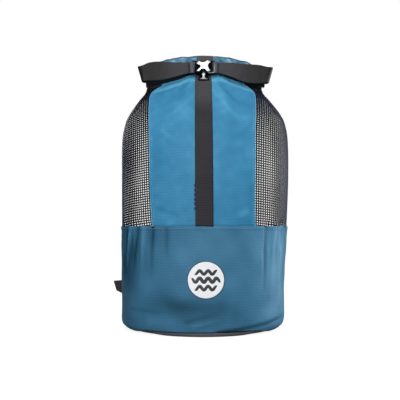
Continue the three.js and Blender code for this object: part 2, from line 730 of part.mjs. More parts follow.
// The latch below the buckle: bell-shaped, with an arched top and a keyhole-shaped rivet in its face
function latch() {
  const w = LATCH_WIDTH / 2;
  const h = LATCH_HEIGHT / 2;
  const shape = new THREE.Shape();
  shape.moveTo(-w, -h + 2);
  shape.quadraticCurveTo(-w, -h, -w + 2, -h);
  shape.lineTo(w - 2, -h);
  shape.quadraticCurveTo(w, -h, w, -h + 2);
  shape.quadraticCurveTo(0.6 * w, -0.25 * h, 0.6 * w, 0.3 * h);
  shape.quadraticCurveTo(0.6 * w, h, 0, h);
  shape.quadraticCurveTo(-0.6 * w, h, -0.6 * w, 0.3 * h);
  shape.quadraticCurveTo(-0.6 * w, -0.25 * h, -w, -h + 2);
  return shape;
}

const latchBack = buckleBack - FRAME_THICKNESS - 2 * GAP - CROSS_THICKNESS;
const latchRise = BUCKLE_RISE - LATCH_DROP;

function rivet() {
  const shape = new THREE.Shape();
  const r = 0.14 * LATCH_WIDTH;
  const h = LATCH_HEIGHT / 2;
  shape.moveTo(-1.5 * r, -0.75 * h);
  shape.lineTo(1.5 * r, -0.75 * h);
  shape.quadraticCurveTo(0.5 * r, -0.4 * h, 0.6 * r, -0.2 * h);
  shape.absarc(0, 0, r, -0.3 * Math.PI, 1.3 * Math.PI, false);
  shape.quadraticCurveTo(-0.5 * r, -0.4 * h, -1.5 * r, -0.75 * h);
  return plate(shape, 1, latchBack - LATCH_THICKNESS - GAP).translate(BUCKLE_SHIFT, 0, latchRise);
}

for (const [side, sign] of [["left", -1], ["right", 1]]) {
  add(`buckle_frame_${side}`, buckleFrame(sign), plasticLook);
  add(`webbing_loop_${side}`, webbingLoop(sign), bandLook);
}
add("buckle_cross", cross(), alloyLook);
add(
  "latch",
  plate(latch(), LATCH_THICKNESS, latchBack, 1).translate(BUCKLE_SHIFT, 0, latchRise),
  plasticLook,
);
add("latch_rivet", rivet(), alloyLook);

// A shoulder pad: sewn to the back near the neck, and standing off the back below
function padRoute(sign) {
  const count = 12;
  const top = PAD_ROUTE[0].at;
  const bottom = PAD_ROUTE.at(-1).at;
  const downward = [...PAD_ROUTE].reverse();
  return shares(count).map((share) => {
    const at = mix(top, bottom, share);
    const height = at * NECK_HEIGHT;
    const turn = turnAt(sign * BACK_PANEL_HALF * read(downward, "reach", at), height, true);
    const off = 2 * GAP + PAD_THICKNESS / 2 + Math.max(0, PAD_STANDOFF * read(downward, "off", at));
    return {
      point: overSkin(turn, height, off),
      out: skinNormal(turn, height),
      width: mix(PAD_WIDTH, PAD_END_WIDTH, smooth(share, 0.55, 1)),
      thickness: PAD_THICKNESS,
    };
  });
}

// The anchor tab, a trapezoid of folded webbing that stands out from the base's wall
function anchorFrame({ sewn, points }) {
  const root = overSkin(sewn * DEG, TAB_RISE, GAP);
  const way = new THREE.Vector3(Math.sin(points * DEG), -Math.cos(points * DEG), 0);
  const face = new THREE.Vector3(-way.y, way.x, 0);
  return { root, way, face };
}

function anchorTab(anchor) {
  const { root, way, face } = anchorFrame(anchor);
  const outline = [
    [TAB_CLEAR, TAB_ROOT / 2],
    [TAB_LENGTH, TAB_ROOT / 2 - 3],
    [TAB_LENGTH - 6, TAB_ROOT / 2 - 3 - TAB_TIP],
    [TAB_CLEAR, -TAB_ROOT / 2],
  ];
  const positions = [-1, 1].flatMap((s) =>
    outline.flatMap(([reach, up]) =>
      root
        .clone()
        .addScaledVector(way, reach)
        .addScaledVector(face, (s * TAB_THICKNESS) / 2)
        .setZ(TAB_RISE + up)
        .toArray(),
    ),
  );
  const quads = [[3, 2, 1, 0], [4, 5, 6, 7]];
  for (let k = 0; k < 4; k += 1) quads.push([k, (k + 1) % 4, 4 + ((k + 1) % 4), 4 + k]);
  return facingOut(positions, quads);
}

// The webbing from the pad's lower end to the anchor tab: it hangs straight down from the pad, and comes
// round to meet the tab's back face level
function webRoute(sign, anchor, pad) {
  const [before, last] = pad.slice(-2);
  const forward = last.point.clone().sub(before.point).normalize();
  const section = { out: last.out, width: WEB_WIDTH, thickness: WEB_THICKNESS };
  const leaving = [2 * GAP, WEB_LEVEL].map((run) => ({
    point: last.point.clone().addScaledVector(forward, run),
    ...section,
  }));
  const padEnd = PAD_ROUTE.at(-1);
  const topHeight = padEnd.at * NECK_HEIGHT - WEB_LEVEL;
  const topTurn = turnAt(sign * BACK_PANEL_HALF * padEnd.reach, topHeight, true);
  const from = sign > 0 ? topTurn : topTurn - 2 * Math.PI;
  const normal = skinNormal(anchor.sewn * DEG, TAB_RISE);
  const { way } = anchorFrame(anchor);
  const slant = (WEB_OFF * way.clone().cross(normal).z) / way.dot(normal);
  const clear = TAB_THICKNESS / 2 + 3.2 * GAP;
  const sewn = further(anchor.sewn * DEG, TAB_RISE, sign * clear - slant);
  const to = further(sewn, TAB_RISE, sign * 3 * WEB_THICKNESS);
  const place = (turn, height, off) => ({
    ...section,
    point: overSkin(turn, height, off),
    out: skinNormal(turn, height),
  });
  const falling = steps(9, 90, 9).map((degrees) => {
    const turn = mix(from, to, 1 - Math.cos(degrees * DEG));
    const height = mix(topHeight, TAB_RISE, Math.sin(degrees * DEG));
    const off = mix(GAP + PAD_THICKNESS / 2 + PAD_STANDOFF * padEnd.off, WEB_OFF, degrees / 90);
    return place(turn, height, off);
  });
  return [...leaving, ...falling, place(sewn, TAB_RISE, WEB_OFF)];
}

// A ring of plastic round the webbing, just below the pad
function slide(route) {
  const [start, end] = [route[0].point, route[1].point];
  const forward = end.clone().sub(start).normalize();
  const side = forward.clone().cross(route[0].out).normalize();
  const out = side.clone().cross(forward).normalize();
  const w = WEB_WIDTH / 2 + 2 * GAP;
  const t = WEB_THICKNESS / 2 + 2 * GAP;
  const [outerW, outerT] = [w + SLIDE_WALL, t + SLIDE_WALL];
  const shape = addRectangle(new THREE.Shape(), -outerW, outerW, -outerT, outerT, 1);
  shape.holes.push(addRectangle(new THREE.Path(), -w, w, -t, t, 0.3));
  const geometry = new THREE.ExtrudeGeometry(shape, {
    depth: SLIDE_LENGTH,
    bevelEnabled: false,
    curveSegments: 2,
  });
  const middle = start.clone().add(end).multiplyScalar(0.5);
  geometry.translate(0, 0, -SLIDE_LENGTH / 2);
  const basis = new THREE.Matrix4().makeBasis(side, out, side.clone().cross(out));
  return geometry.applyMatrix4(basis).translate(middle.x, middle.y, middle.z);
}

for (const anchor of ANCHORS) {
  const sign = anchor.side === "left" ? -1 : 1;
  const pad = padRoute(sign);
  const route = webRoute(sign, anchor, pad);
  add(`shoulder_pad_${anchor.side}`, ribbon(pad), webbingLook);
  add(`strap_web_${anchor.side}`, ribbon(route), webbingLook);
  add(`strap_slide_${anchor.side}`, slide(route), plasticLook);
  add(`anchor_tab_${anchor.side}`, anchorTab(anchor), webbingLook);
}

export default bag;
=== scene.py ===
"""Looks for a mesh dive gear bag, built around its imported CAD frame.

The bag is a roll-top backpack: a blue base, blue front and back panels with webbing down the middle, open
mesh sides, and a mouth that is rolled down and closed by two folded bands and a buckle. Sizes are in
millimetres until a mesh is made, which is in metres. +Z is up, the front faces -Y, and the origin is the
floor's middle.
"""
import math

import bmesh
import bpy
import numpy as np
from mathutils import Matrix, Vector


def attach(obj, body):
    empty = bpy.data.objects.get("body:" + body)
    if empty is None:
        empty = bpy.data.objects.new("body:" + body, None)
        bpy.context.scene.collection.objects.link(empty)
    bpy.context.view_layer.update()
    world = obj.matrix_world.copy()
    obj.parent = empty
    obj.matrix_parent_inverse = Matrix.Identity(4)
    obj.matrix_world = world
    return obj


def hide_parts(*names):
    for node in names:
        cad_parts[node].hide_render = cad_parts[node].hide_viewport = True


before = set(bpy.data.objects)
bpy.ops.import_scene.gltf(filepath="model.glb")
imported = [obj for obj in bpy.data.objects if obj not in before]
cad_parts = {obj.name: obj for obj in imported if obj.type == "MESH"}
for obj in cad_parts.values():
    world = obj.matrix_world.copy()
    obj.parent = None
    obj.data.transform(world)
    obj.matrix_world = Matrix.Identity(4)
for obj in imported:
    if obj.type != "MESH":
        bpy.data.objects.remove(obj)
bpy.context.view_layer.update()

MM = 0.001

# The bag's body
BAG_WIDTH = 334
BAG_DEPTH = 272
BASE_HEIGHT = 197
NECK_HEIGHT = 473
FLOOR_RIM = 7
GAP = 0.3
HALF_WIDTH = BAG_WIDTH / 2
HALF_DEPTH = BAG_DEPTH / 2
PLEAT_SPREAD = 15
FOLD_WIDTH = 10
FOLD_DEPTH = 4

# Panels and webbing on the body
PANEL_LEFT = 103
PANEL_RIGHT = 94
BACK_PANEL_HALF = 100
STRIP_WIDTH = 32
STRIP_SHIFT = -3.5
STRIP_LEAN = 1.6  # how much further to the left the webbing's upper end lies
STRIP_THICKNESS = 1.8
PATCH_RADIUS = 32.5
PATCH_RISE = 101

# The rolled mouth
ROLL_LENGTH = 236
ROLL_HEIGHT = 43
ROLL_END_HEIGHT = 41
ROLL_DEPTH = 36
ROLL_SETBACK = -9
ROLL_SINK = 3.4
ROLL_END_SINK = 2.5
NECK_LIFT = 24.5
ROLL_PITCH = 3.6
WRAP_START = -58
WRAP_END = 205
BAND_TURNS_END = 510

# The closing bands and the buckle
BAND_HEIGHT = 36
BAND_THICKNESS = 2.6
BAND_FOLD = 10.5
FOLD_RADIUS = 7
FOLD_SLANT = 0.28
BUCKLE_LIFT = 35
BUCKLE_RISE = NECK_HEIGHT + BUCKLE_LIFT
BUCKLE_SHIFT = -3.5
BUCKLE_SPAN = 46
BUCKLE_JOIN = 11
FRAME_HEIGHT = 27
FRAME_THICKNESS = 5
FRAME_BAR = 3
FRAME_WALL = 2
LOOP_THICKNESS = 1.5
LOOP_LENGTH = 9
CROSS_THICKNESS = 3
CROSS_LIFT = 2
LATCH_WIDTH = 22
LATCH_HEIGHT = 23
LATCH_THICKNESS = 6
LATCH_DROP = 16.5
ROLL_FRONT = ROLL_SETBACK - ROLL_DEPTH / 2
BUCKLE_BACK = ROLL_FRONT - GAP - STRIP_THICKNESS - 1.6
BAND_FRONT = BUCKLE_BACK - FRAME_THICKNESS / 2

# The shoulder straps
PAD_WIDTH = 58
PAD_END_WIDTH = 38
PAD_THICKNESS = 7
PAD_STANDOFF = 46
WEB_WIDTH = 25
WEB_THICKNESS = 2
WEB_OFF = 4
WEB_LEVEL = 22
TAB_ROOT = 36
TAB_TIP = 20
TAB_LENGTH = 34
TAB_THICKNESS = 4
TAB_RISE = 68
TAB_CLEAR = 0.8


def table(columns, *rows):
    """A table's named columns, each as an array."""
    return dict(zip(columns.split(), np.array(rows, float).T))


# The body's horizontal sections. at is a share of NECK_HEIGHT; half, shift and pleat of HALF_WIDTH; front
# and back of HALF_DEPTH; and lean of ROLL_SETBACK. A power of 2 is an ellipse.
SECTIONS = table(
    "at half shift front back power pleat lean",
    (0.0, 0.885, -0.033, 0.975, 0.93, 1.95, 0, 0),
    (0.013, 0.937, -0.033, 0.99, 0.965, 2.1, 0, 0),
    (0.032, 0.958, -0.033, 0.995, 0.98, 2.22, 0, 0),
    (0.085, 0.965, -0.033, 1.0, 0.99, 2.3, 0, 0),
    (0.21, 0.968, -0.028, 1.005, 0.99, 2.3, 0, 0),
    (0.416, 0.981, -0.014, 1.0, 0.99, 2.3, 0, 0),
    (0.613, 0.995, -0.004, 0.985, 0.97, 2.3, 0, 0),
    (0.78, 0.994, -0.004, 0.925, 0.9, 2.25, 0, 0),
    (0.848, 0.968, -0.004, 0.825, 0.8, 2.2, 0.01, 0),
    (0.882, 0.934, -0.006, 0.71, 0.7, 2.15, 0.025, 0.05),
    (0.915, 0.885, -0.01, 0.565, 0.57, 2.1, 0.05, 0.2),
    (0.949, 0.825, -0.015, 0.36, 0.39, 2.05, 0.08, 0.5),
    (0.975, 0.775, -0.015, 0.175, 0.2, 2.0, 0.105, 0.85),
    (1.0, 0.755, -0.012, 0.05, 0.05, 2.0, 0.12, 1),
)

# How the panels' left and right edges run, as shares of their reach
PANEL_EDGES = table(
    "at left right",
    (0.416, 0.948, 0.948),
    (0.6, 0.99, 0.958),
    (0.8, 1.02, 0.972),
    (0.88, 1.045, 1.005),
    (0.91, 1.055, 1.02),
    (0.95, 1.05, 1.025),
    (0.975, 0.985, 0.965),
    (1.0, 0.84, 0.83),
)

# The roll's line from its middle to its ends, as shares of its drop at the ends
ROLL_LINE = table(
    "at top bottom",
    (0, 0, 0),
    (0.25, 0.04, 0.055),
    (0.33, 0.08, 0.2),
    (0.42, 0.14, 0.42),
    (0.57, 0.26, 0.62),
    (0.75, 0.5, 0.87),
    (1, 1, 1),
)

# The closing bands from the buckle to the fold: how far each lies below the buckle's middle, and its height,
# as shares of BAND_HEIGHT
BAND_LINE = table(
    "at left right height",
    (0, 0.02, 0.02, 0.61),
    (0.25, 0.09, 0.12, 0.78),
    (0.55, 0.17, 0.3, 1.0),
    (0.82, 0.22, 0.37, 1.04),
    (1, 0.33, 0.39, 0.86),
)

# The main folds: a run from one turn and height to another, and its width and depth as shares of FOLD_WIDTH
# and FOLD_DEPTH. Turns are degrees from the front's middle, and a negative depth stands out.
MAIN_FOLDS = table(
    "turn rise end_turn end_rise width depth",
    (-66, 0.42, -70, 0.3, 1.0, 1.2),
    (-56, 0.42, -66, 0.22, 0.8, -0.7),
    (-47, 0.42, -50, 0.31, 0.9, 0.9),
    (-37, 0.42, -37, 0.33, 0.8, 0.6),
    (44, 0.42, 43, 0.32, 0.8, 0.8),
    (53, 0.42, 54, 0.3, 0.8, -0.7),
    (62, 0.42, 61, 0.32, 0.8, 1.0),
    (4, 0.1, 24, 0.05, 1.8, 0.8),
    (-30, 0.13, -8, 0.09, 1.8, 0.7),
    (-14, 0.97, -36, 0.93, 1.1, -0.8),
    (12, 0.98, 38, 0.92, 1.1, -0.9),
)

# Smaller folds that only the looks have, on the base's cloth and on the front panel
BASE_CREASES = table(
    "turn rise end_turn end_rise width depth",
    (-63, 0.42, -67, 0.12, 0.5, 0.6),
    (-53, 0.42, -60, 0.24, 0.35, -1.1),
    (-58, 0.42, -66, 0.26, 0.4, 0.9),
    (-40, 0.43, -42, 0.18, 0.45, -0.5),
    (-47, 0.43, -50, 0.2, 0.5, 0.5),
    (-32, 0.43, -33, 0.2, 0.4, 0.55),
    (-22, 0.43, -21, 0.28, 0.4, 0.4),
    (-52, 0.092, -14, 0.084, 0.4, 0.18),
    (-18, 0.13, 6, 0.07, 1.3, 0.08),
    (-8, 0.053, 8, 0.083, 0.4, 0.25),
    (-5, 0.035, 10, 0.065, 0.4, -0.3),
    (-34, 0.055, -8, 0.045, 1.0, -0.3),
    (15, 0.13, 14, 0.05, 1.0, -0.25),
    (9, 0.012, 80, 0.062, 0.45, 0.9),
    (41, 0.43, 40, 0.15, 0.45, 0.6),
    (50, 0.43, 48, 0.08, 0.9, -0.35),
    (56, 0.43, 54, 0.25, 0.35, 0.25),
    (63, 0.43, 61, 0.1, 0.7, -0.35),
    (72, 0.42, 72, 0.1, 0.6, 0.3),
    (120, 0.41, 112, 0.2, 0.8, 0.4),
    (150, 0.1, 190, 0.05, 1.2, 0.4),
    (-120, 0.41, -112, 0.25, 0.8, 0.4),
)
# Painted patches on the base: pale ones are painted highlight where the light from the right and above falls,
# and dark ones painted shade on its left and low in the middle. The middle of each, its size, and how pale
# or, below 0, how dark it is
BASE_PAINTED_LIGHT = table(
    "turn rise wide tall amount",
    (2, 0.08, 30, 0.055, -0.45),
    (-10, 0.118, 16, 0.03, -0.4),
    (34, 0.25, 12, 0.16, 0.25),
    (-60, 0.31, 16, 0.15, -1.0),
    (-32, 0.36, 4, 0.07, -0.4),
    (-22, 0.37, 5, 0.05, -0.35),
    (-28, 0.14, 14, 0.09, -0.25),
    (2, 0.38, 34, 0.1, 0.12),
    (60, 0.26, 18, 0.2, 0.4),
    (50, 0.08, 22, 0.03, 0.2),
    (52, 0.09, 20, 0.05, 0.15),
)
PANEL_CREASES = table(
    "turn rise end_turn end_rise width depth",
    (-10, 0.985, -30, 0.9, 0.5, 0.25),
    (-8, 0.98, -20, 0.86, 0.6, -0.2),
    (10, 0.985, 26, 0.88, 0.5, 0.25),
    (9, 0.96, 18, 0.84, 0.6, -0.25),
    (-5, 0.93, -28, 0.82, 0.35, -0.15),
    (-7, 0.95, -34, 0.89, 0.3, 0.15),
    (6, 0.94, 24, 0.8, 0.35, -0.18),
    (8, 0.96, 33, 0.88, 0.3, 0.18),
    (30, 0.82, 16, 0.74, 0.5, 0.2),
    (-26, 0.78, -12, 0.72, 0.5, -0.2),
    (28, 0.7, 12, 0.6, 1.4, -0.2),
    (24, 0.47, 14, 0.44, 0.6, -0.25),
    (-28, 0.48, -12, 0.45, 0.6, 0.25),
    (-30, 0.62, -12, 0.52, 1.5, 0.2),
    (30, 0.55, 12, 0.5, 1.5, 0.2),
)

# The centre line of a shoulder pad: reach is a share of BACK_PANEL_HALF, and off is a share of PAD_STANDOFF
PAD_ROUTE = table(
    "at reach off",
    (0.44, 0.71, 0.46),
    (0.48, 0.7, 0.62),
    (0.57, 0.67, 0.9),
    (0.68, 0.62, 1.0),
    (0.79, 0.57, 0.72),
    (0.875, 0.53, 0.22),
    (0.93, 0.5, 0),
)

# Where each anchor tab is sewn on and where it points, in degrees from the front's middle
ANCHORS = {"left": (-112, -92), "right": (126, 135)}


def mix(a, b, share):
    return a + (b - a) * share


def smooth(value, low, high):
    t = np.clip((value - low) / (high - low), 0, 1)
    return t * t * (3 - 2 * t)


def signed_power(value, power):
    return np.sign(value) * np.abs(value) ** power


def unit(vectors):
    return vectors / np.linalg.norm(vectors, axis=-1, keepdims=True)


def stack(x, y, z):
    return np.stack(np.broadcast_arrays(x, y, z), -1).astype(float)


def read(columns, name, at):
    """A column of a table along a smooth curve through its rows, at one or many places."""
    places = columns["at"]
    values = columns[name]
    rows = np.arange(len(places))
    after = np.minimum(rows + 1, rows[-1])
    before = np.maximum(rows - 1, 0)
    slopes = (values[after] - values[before]) / (places[after] - places[before])
    i = np.clip(np.searchsorted(places, at) - 1, 0, rows[-1] - 1)
    span = places[i + 1] - places[i]
    t = np.clip((at - places[i]) / span, 0, 1)
    ends = values[i] * (1 + 2 * t) * (1 - t) ** 2 + values[i + 1] * t * t * (3 - 2 * t)
    return ends + span * (slopes[i] * t * (1 - t) ** 2 - slopes[i + 1] * t * t * (1 - t))


def fold_depth(turn, height, folds):
    """How far the cloth stands in because of folds. turn is from -180 to 180 degrees, in radians."""
    along_girth = (BAG_WIDTH + BAG_DEPTH) / 4
    total = np.zeros(np.broadcast(turn, height).shape)
    for k in range(len(folds["turn"])):
        start = np.radians(folds["turn"][k]) * along_girth, folds["rise"][k] * NECK_HEIGHT
        end = np.radians(folds["end_turn"][k]) * along_girth, folds["end_rise"][k] * NECK_HEIGHT
        run = end[0] - start[0], end[1] - start[1]
        from_start = turn * along_girth - start[0], height - start[1]
        share = (from_start[0] * run[0] + from_start[1] * run[1]) / (run[0] ** 2 + run[1] ** 2)
        share = np.clip(share, 0, 1)
        away = np.hypot(from_start[0] - share * run[0], from_start[1] - share * run[1])
        bell = np.exp(-((away / (folds["width"][k] * FOLD_WIDTH)) ** 2))
        total += folds["depth"][k] * FOLD_DEPTH * (1 - share**2) * bell
    return total


def roll_line(name, x):
    return read(ROLL_LINE, name, np.minimum(1, np.abs(x) / (ROLL_LENGTH / 2)))


def neck_lift(x):
    return NECK_LIFT * (1 - roll_line("bottom", x))


def skin(turn, height):
    """The outer face of the body's cloth. turn is 0 in front and a quarter turn at the +X side."""
    at = height / NECK_HEIGHT
    power = read(SECTIONS, "power", at)
    across = np.sin(turn)
    along = np.cos(turn)
    around = np.arctan2(across, along)
    from_side = (np.abs(np.degrees(around)) - 90) / PLEAT_SPREAD
    tuck = HALF_WIDTH * read(SECTIONS, "pleat", at) * np.exp(-(from_side**2))
    fold = fold_depth(around, height, MAIN_FOLDS)
    half = HALF_WIDTH * read(SECTIONS, "half", at)
    x = HALF_WIDTH * read(SECTIONS, "shift", at) + half * signed_power(across, 2 / power)
    x = x - np.sign(across) * tuck - across * fold
    front = HALF_DEPTH * read(SECTIONS, "front", at)
    back = HALF_DEPTH * read(SECTIONS, "back", at)
    y = ROLL_SETBACK * read(SECTIONS, "lean", at) + along * fold
    y = y - np.where(along >= 0, front, back) * signed_power(along, 2 / power)
    rising = smooth(height, 0.85 * NECK_HEIGHT, NECK_HEIGHT)
    return stack(x, y, height + neck_lift(x) * rising)


def skin_normal(turn, height):
    step = 0.01
    height = np.minimum(height, NECK_HEIGHT)
    girth = skin(turn + step, height) - skin(turn - step, height)
    low = np.maximum(0, height - 0.5)
    high = np.minimum(NECK_HEIGHT, height + 0.5)
    return unit(np.cross(girth, skin(turn, high) - skin(turn, low)))


def over_skin(turn, height, distance):
    """A point at a distance outside the body's outer face."""
    return skin(turn, height) + skin_normal(turn, height) * np.asarray(distance)[..., None]


def turn_at(x, height, on_back=False):
    """The turn at which the body is at x, on the front or on the back."""
    at = height / NECK_HEIGHT
    shift = HALF_WIDTH * read(SECTIONS, "shift", at)
    half = HALF_WIDTH * read(SECTIONS, "half", at)
    share = np.clip((x - shift) / half, -1, 1)
    turn = np.arcsin(signed_power(share, read(SECTIONS, "power", at) / 2))
    return math.pi - turn if on_back else turn


def panel_turn(reach, height, on_back=False):
    side = "left" if reach < 0 else "right"
    return turn_at(reach * read(PANEL_EDGES, side, height / NECK_HEIGHT), height, on_back)


def further(turn, height, distance):
    """The turn that lies a distance further round the body."""
    span = np.linalg.norm(skin(turn + 0.01, height) - skin(turn - 0.01, height), axis=-1)
    return turn + distance * 0.02 / span


def drift(points, size, seed, waves=9):
    """A smooth random rise and fall over a surface, mostly from -1 to 1. size is its usual wavelength."""
    random = np.random.default_rng(seed)
    total = 0
    for _ in range(waves):
        heading = unit(random.normal(size=3))
        length = size * random.uniform(0.7, 1.5)
        total = total + np.sin(points @ heading * (2 * math.pi / length) + random.uniform(0, 2 * math.pi))
    return total / math.sqrt(waves) / 1.3


def around_front(turn):
    """The same turn, from -180 to 180 degrees."""
    return np.arctan2(np.sin(turn), np.cos(turn))


# ---- Materials ---------------------------------------------------------------------------------------------


def colour(text):
    """An sRGB hex colour as the linear values that a shader takes."""
    parts = [int(text[i : i + 2], 16) / 255 for i in (1, 3, 5)]
    return tuple(c / 12.92 if c <= 0.04045 else ((c + 0.055) / 1.055) ** 2.4 for c in parts) + (1.0,)


def add_node(tree, kind, inputs=None, **settings):
    """Adds a node with its settings. inputs gives each socket a value or another node's output."""
    made = tree.nodes.new("ShaderNode" + kind)
    for name, value in settings.items():
        setattr(made, name, value)
    for socket, value in (inputs or {}).items():
        if isinstance(value, bpy.types.NodeSocket):
            tree.links.new(value, made.inputs[socket])
        else:
            made.inputs[socket].default_value = value
    return made


def new_material(name, inputs):
    """A material with one Principled shader, and the shader. inputs are set on its own sockets."""
    made = bpy.data.materials.new(name)
    made.use_nodes = True
    tree = made.node_tree
    tree.nodes.clear()
    shader = add_node(tree, "BsdfPrincipled", inputs)
    add_node(tree, "OutputMaterial", {"Surface": shader.outputs["BSDF"]})
    made.diffuse_color = inputs.get("Base Color", (0.5, 0.5, 0.5, 1))
    return made, tree, shader


def cloth_place(tree, wave_height=0.0):
    """The place on the cloth, in millimetres along and across it, bent a little as a real weave is."""
    place = add_node(tree, "UVMap", uv_map="cloth")
    parts = add_node(tree, "SeparateXYZ", {"Vector": place.outputs["UV"]})
    bend = add_node(tree, "TexNoise", {"Vector": place.outputs["UV"], "Scale": 0.03, "Detail": 1.0})
    sway = add_node(tree, "Math", {0: bend.outputs["Fac"], 1: wave_height}, operation="MULTIPLY")
    up = add_node(tree, "Math", {0: parts.outputs["Y"], 1: sway.outputs["Value"]}, operation="ADD")
    return place.outputs["UV"], parts.outputs["X"], up.outputs["Value"]


def thread_lines(tree, place, pitch, width):
    """1 on lines that are pitch apart and about width wide, and 0 between them."""
    distance = add_node(tree, "Math", {0: place, 1: pitch / 2}, operation="PINGPONG")
    line = add_node(
        tree,
        "MapRange",
        {
            "Value": distance.outputs["Value"],
            "From Min": 0.0,
            "From Max": width,
            "To Min": 1.0,
            "To Max": 0.0,
        },
        interpolation_type="SMOOTHSTEP",
    )
    return line.outputs["Result"]


def ripstop_nylon(
    name, face, thread, faded, roughness, sheen, highlight_and_wear_to="#5fa6c8", shade_and_dirt_to="#1d3f57", specular=0.2
):
    """Coated ripstop nylon, woven with a thicker thread every 5 mm each way. The coating gives a soft, broad
    gloss, the thick threads a faint grid whose weft shows most, and handling has faded it in patches."""
    made, tree, shader = new_material(
        name,
        {
            "IOR": 1.5,
            "Sheen Weight": sheen,
            "Sheen Roughness": 0.35,
            "Sheen Tint": colour("#dff0fa"),
            "Specular IOR Level": specular,
        },
    )
    place, along, up = cloth_place(tree, wave_height=9.0)
    weft = thread_lines(tree, up, 5.0, 0.9)
    warp = thread_lines(tree, along, 5.0, 0.7)
    fade = add_node(tree, "TexNoise", {"Vector": place, "Scale": 0.012, "Detail": 3.0, "Roughness": 0.6})
    worn = add_node(
        tree, "MapRange", {"Value": fade.outputs["Fac"], "From Min": 0.35, "From Max": 0.7, "To Max": 0.5}
    )
    ground = add_node(
        tree,
        "Mix",
        {"Factor": worn.outputs["Result"], 6: colour(face), 7: colour(faded)},
        data_type="RGBA",
    )
    weft_share = add_node(tree, "Math", {0: weft, 1: 0.34}, operation="MULTIPLY")
    warp_share = add_node(tree, "Math", {0: warp, 1: 0.16}, operation="MULTIPLY")
    lines = add_node(
        tree, "Math", {0: weft_share.outputs[0], 1: warp_share.outputs[0]}, operation="MAXIMUM"
    )
    threads = add_node(
        tree,
        "Mix",
        {"Factor": lines.outputs[0], 6: ground.outputs[2], 7: colour(thread)},
        data_type="RGBA",
    )
    # The cloth's attribute darkens it towards the dark colour and pales it towards the pale one: painted
    # shade in creases and low places, painted highlight on ridges and lit places, and some real random wear
    # and dirt
    wear_and_painted_light = add_node(tree, "Attribute", attribute_name="wear_and_painted_light")
    highlight_and_wear = add_node(
        tree,
        "Mix",
        {"Factor": wear_and_painted_light.outputs["Fac"], 6: threads.outputs[2], 7: colour(highlight_and_wear_to)},
        data_type="RGBA",
    )
    shade_and_dirt = add_node(tree, "Math", {0: wear_and_painted_light.outputs["Fac"], 1: -1.0}, operation="MULTIPLY")
    shaded_and_grubby = add_node(
        tree, "Mix", {"Factor": shade_and_dirt.outputs[0], 6: highlight_and_wear.outputs[2], 7: colour(shade_and_dirt_to)}, data_type="RGBA"
    )
    tree.links.new(shaded_and_grubby.outputs[2], shader.inputs["Base Color"])
    gloss = add_node(
        tree,
        "MapRange",
        {"Value": fade.outputs["Fac"], "To Min": roughness - 0.06, "To Max": roughness + 0.08},
    )
    tree.links.new(gloss.outputs["Result"], shader.inputs["Roughness"])
    # The real threads are 0.3 mm apart. They are drawn 1.4 mm apart, the finest that the render shows.
    fine_up = add_node(tree, "Math", {0: up, 1: 2 * math.pi / 1.4}, operation="MULTIPLY")
    fine_along = add_node(tree, "Math", {0: along, 1: 2 * math.pi / 1.4}, operation="MULTIPLY")
    wave_up = add_node(tree, "Math", {0: fine_up.outputs[0]}, operation="SINE")
    wave_along = add_node(tree, "Math", {0: fine_along.outputs[0]}, operation="SINE")
    weave = add_node(
        tree, "Math", {0: wave_up.outputs[0], 1: wave_along.outputs[0]}, operation="MULTIPLY"
    )
    crumple = add_node(
        tree, "TexNoise", {"Vector": place, "Scale": 0.09, "Detail": 4.0, "Roughness": 0.55}
    )
    ridge = add_node(tree, "Math", {0: lines.outputs[0], 1: 1.2}, operation="MULTIPLY")
    fine = add_node(
        tree, "Math", {0: weave.outputs[0], 1: 0.08, 2: ridge.outputs[0]}, operation="MULTIPLY_ADD"
    )
    relief = add_node(
        tree, "Math", {0: crumple.outputs["Fac"], 1: 2.2, 2: fine.outputs[0]}, operation="MULTIPLY_ADD"
    )
    bump = add_node(
        tree, "Bump", {"Height": relief.outputs[0], "Distance": 0.4 * MM, "Strength": 0.8}
    )
    tree.links.new(bump.outputs["Normal"], shader.inputs["Normal"])
    return made


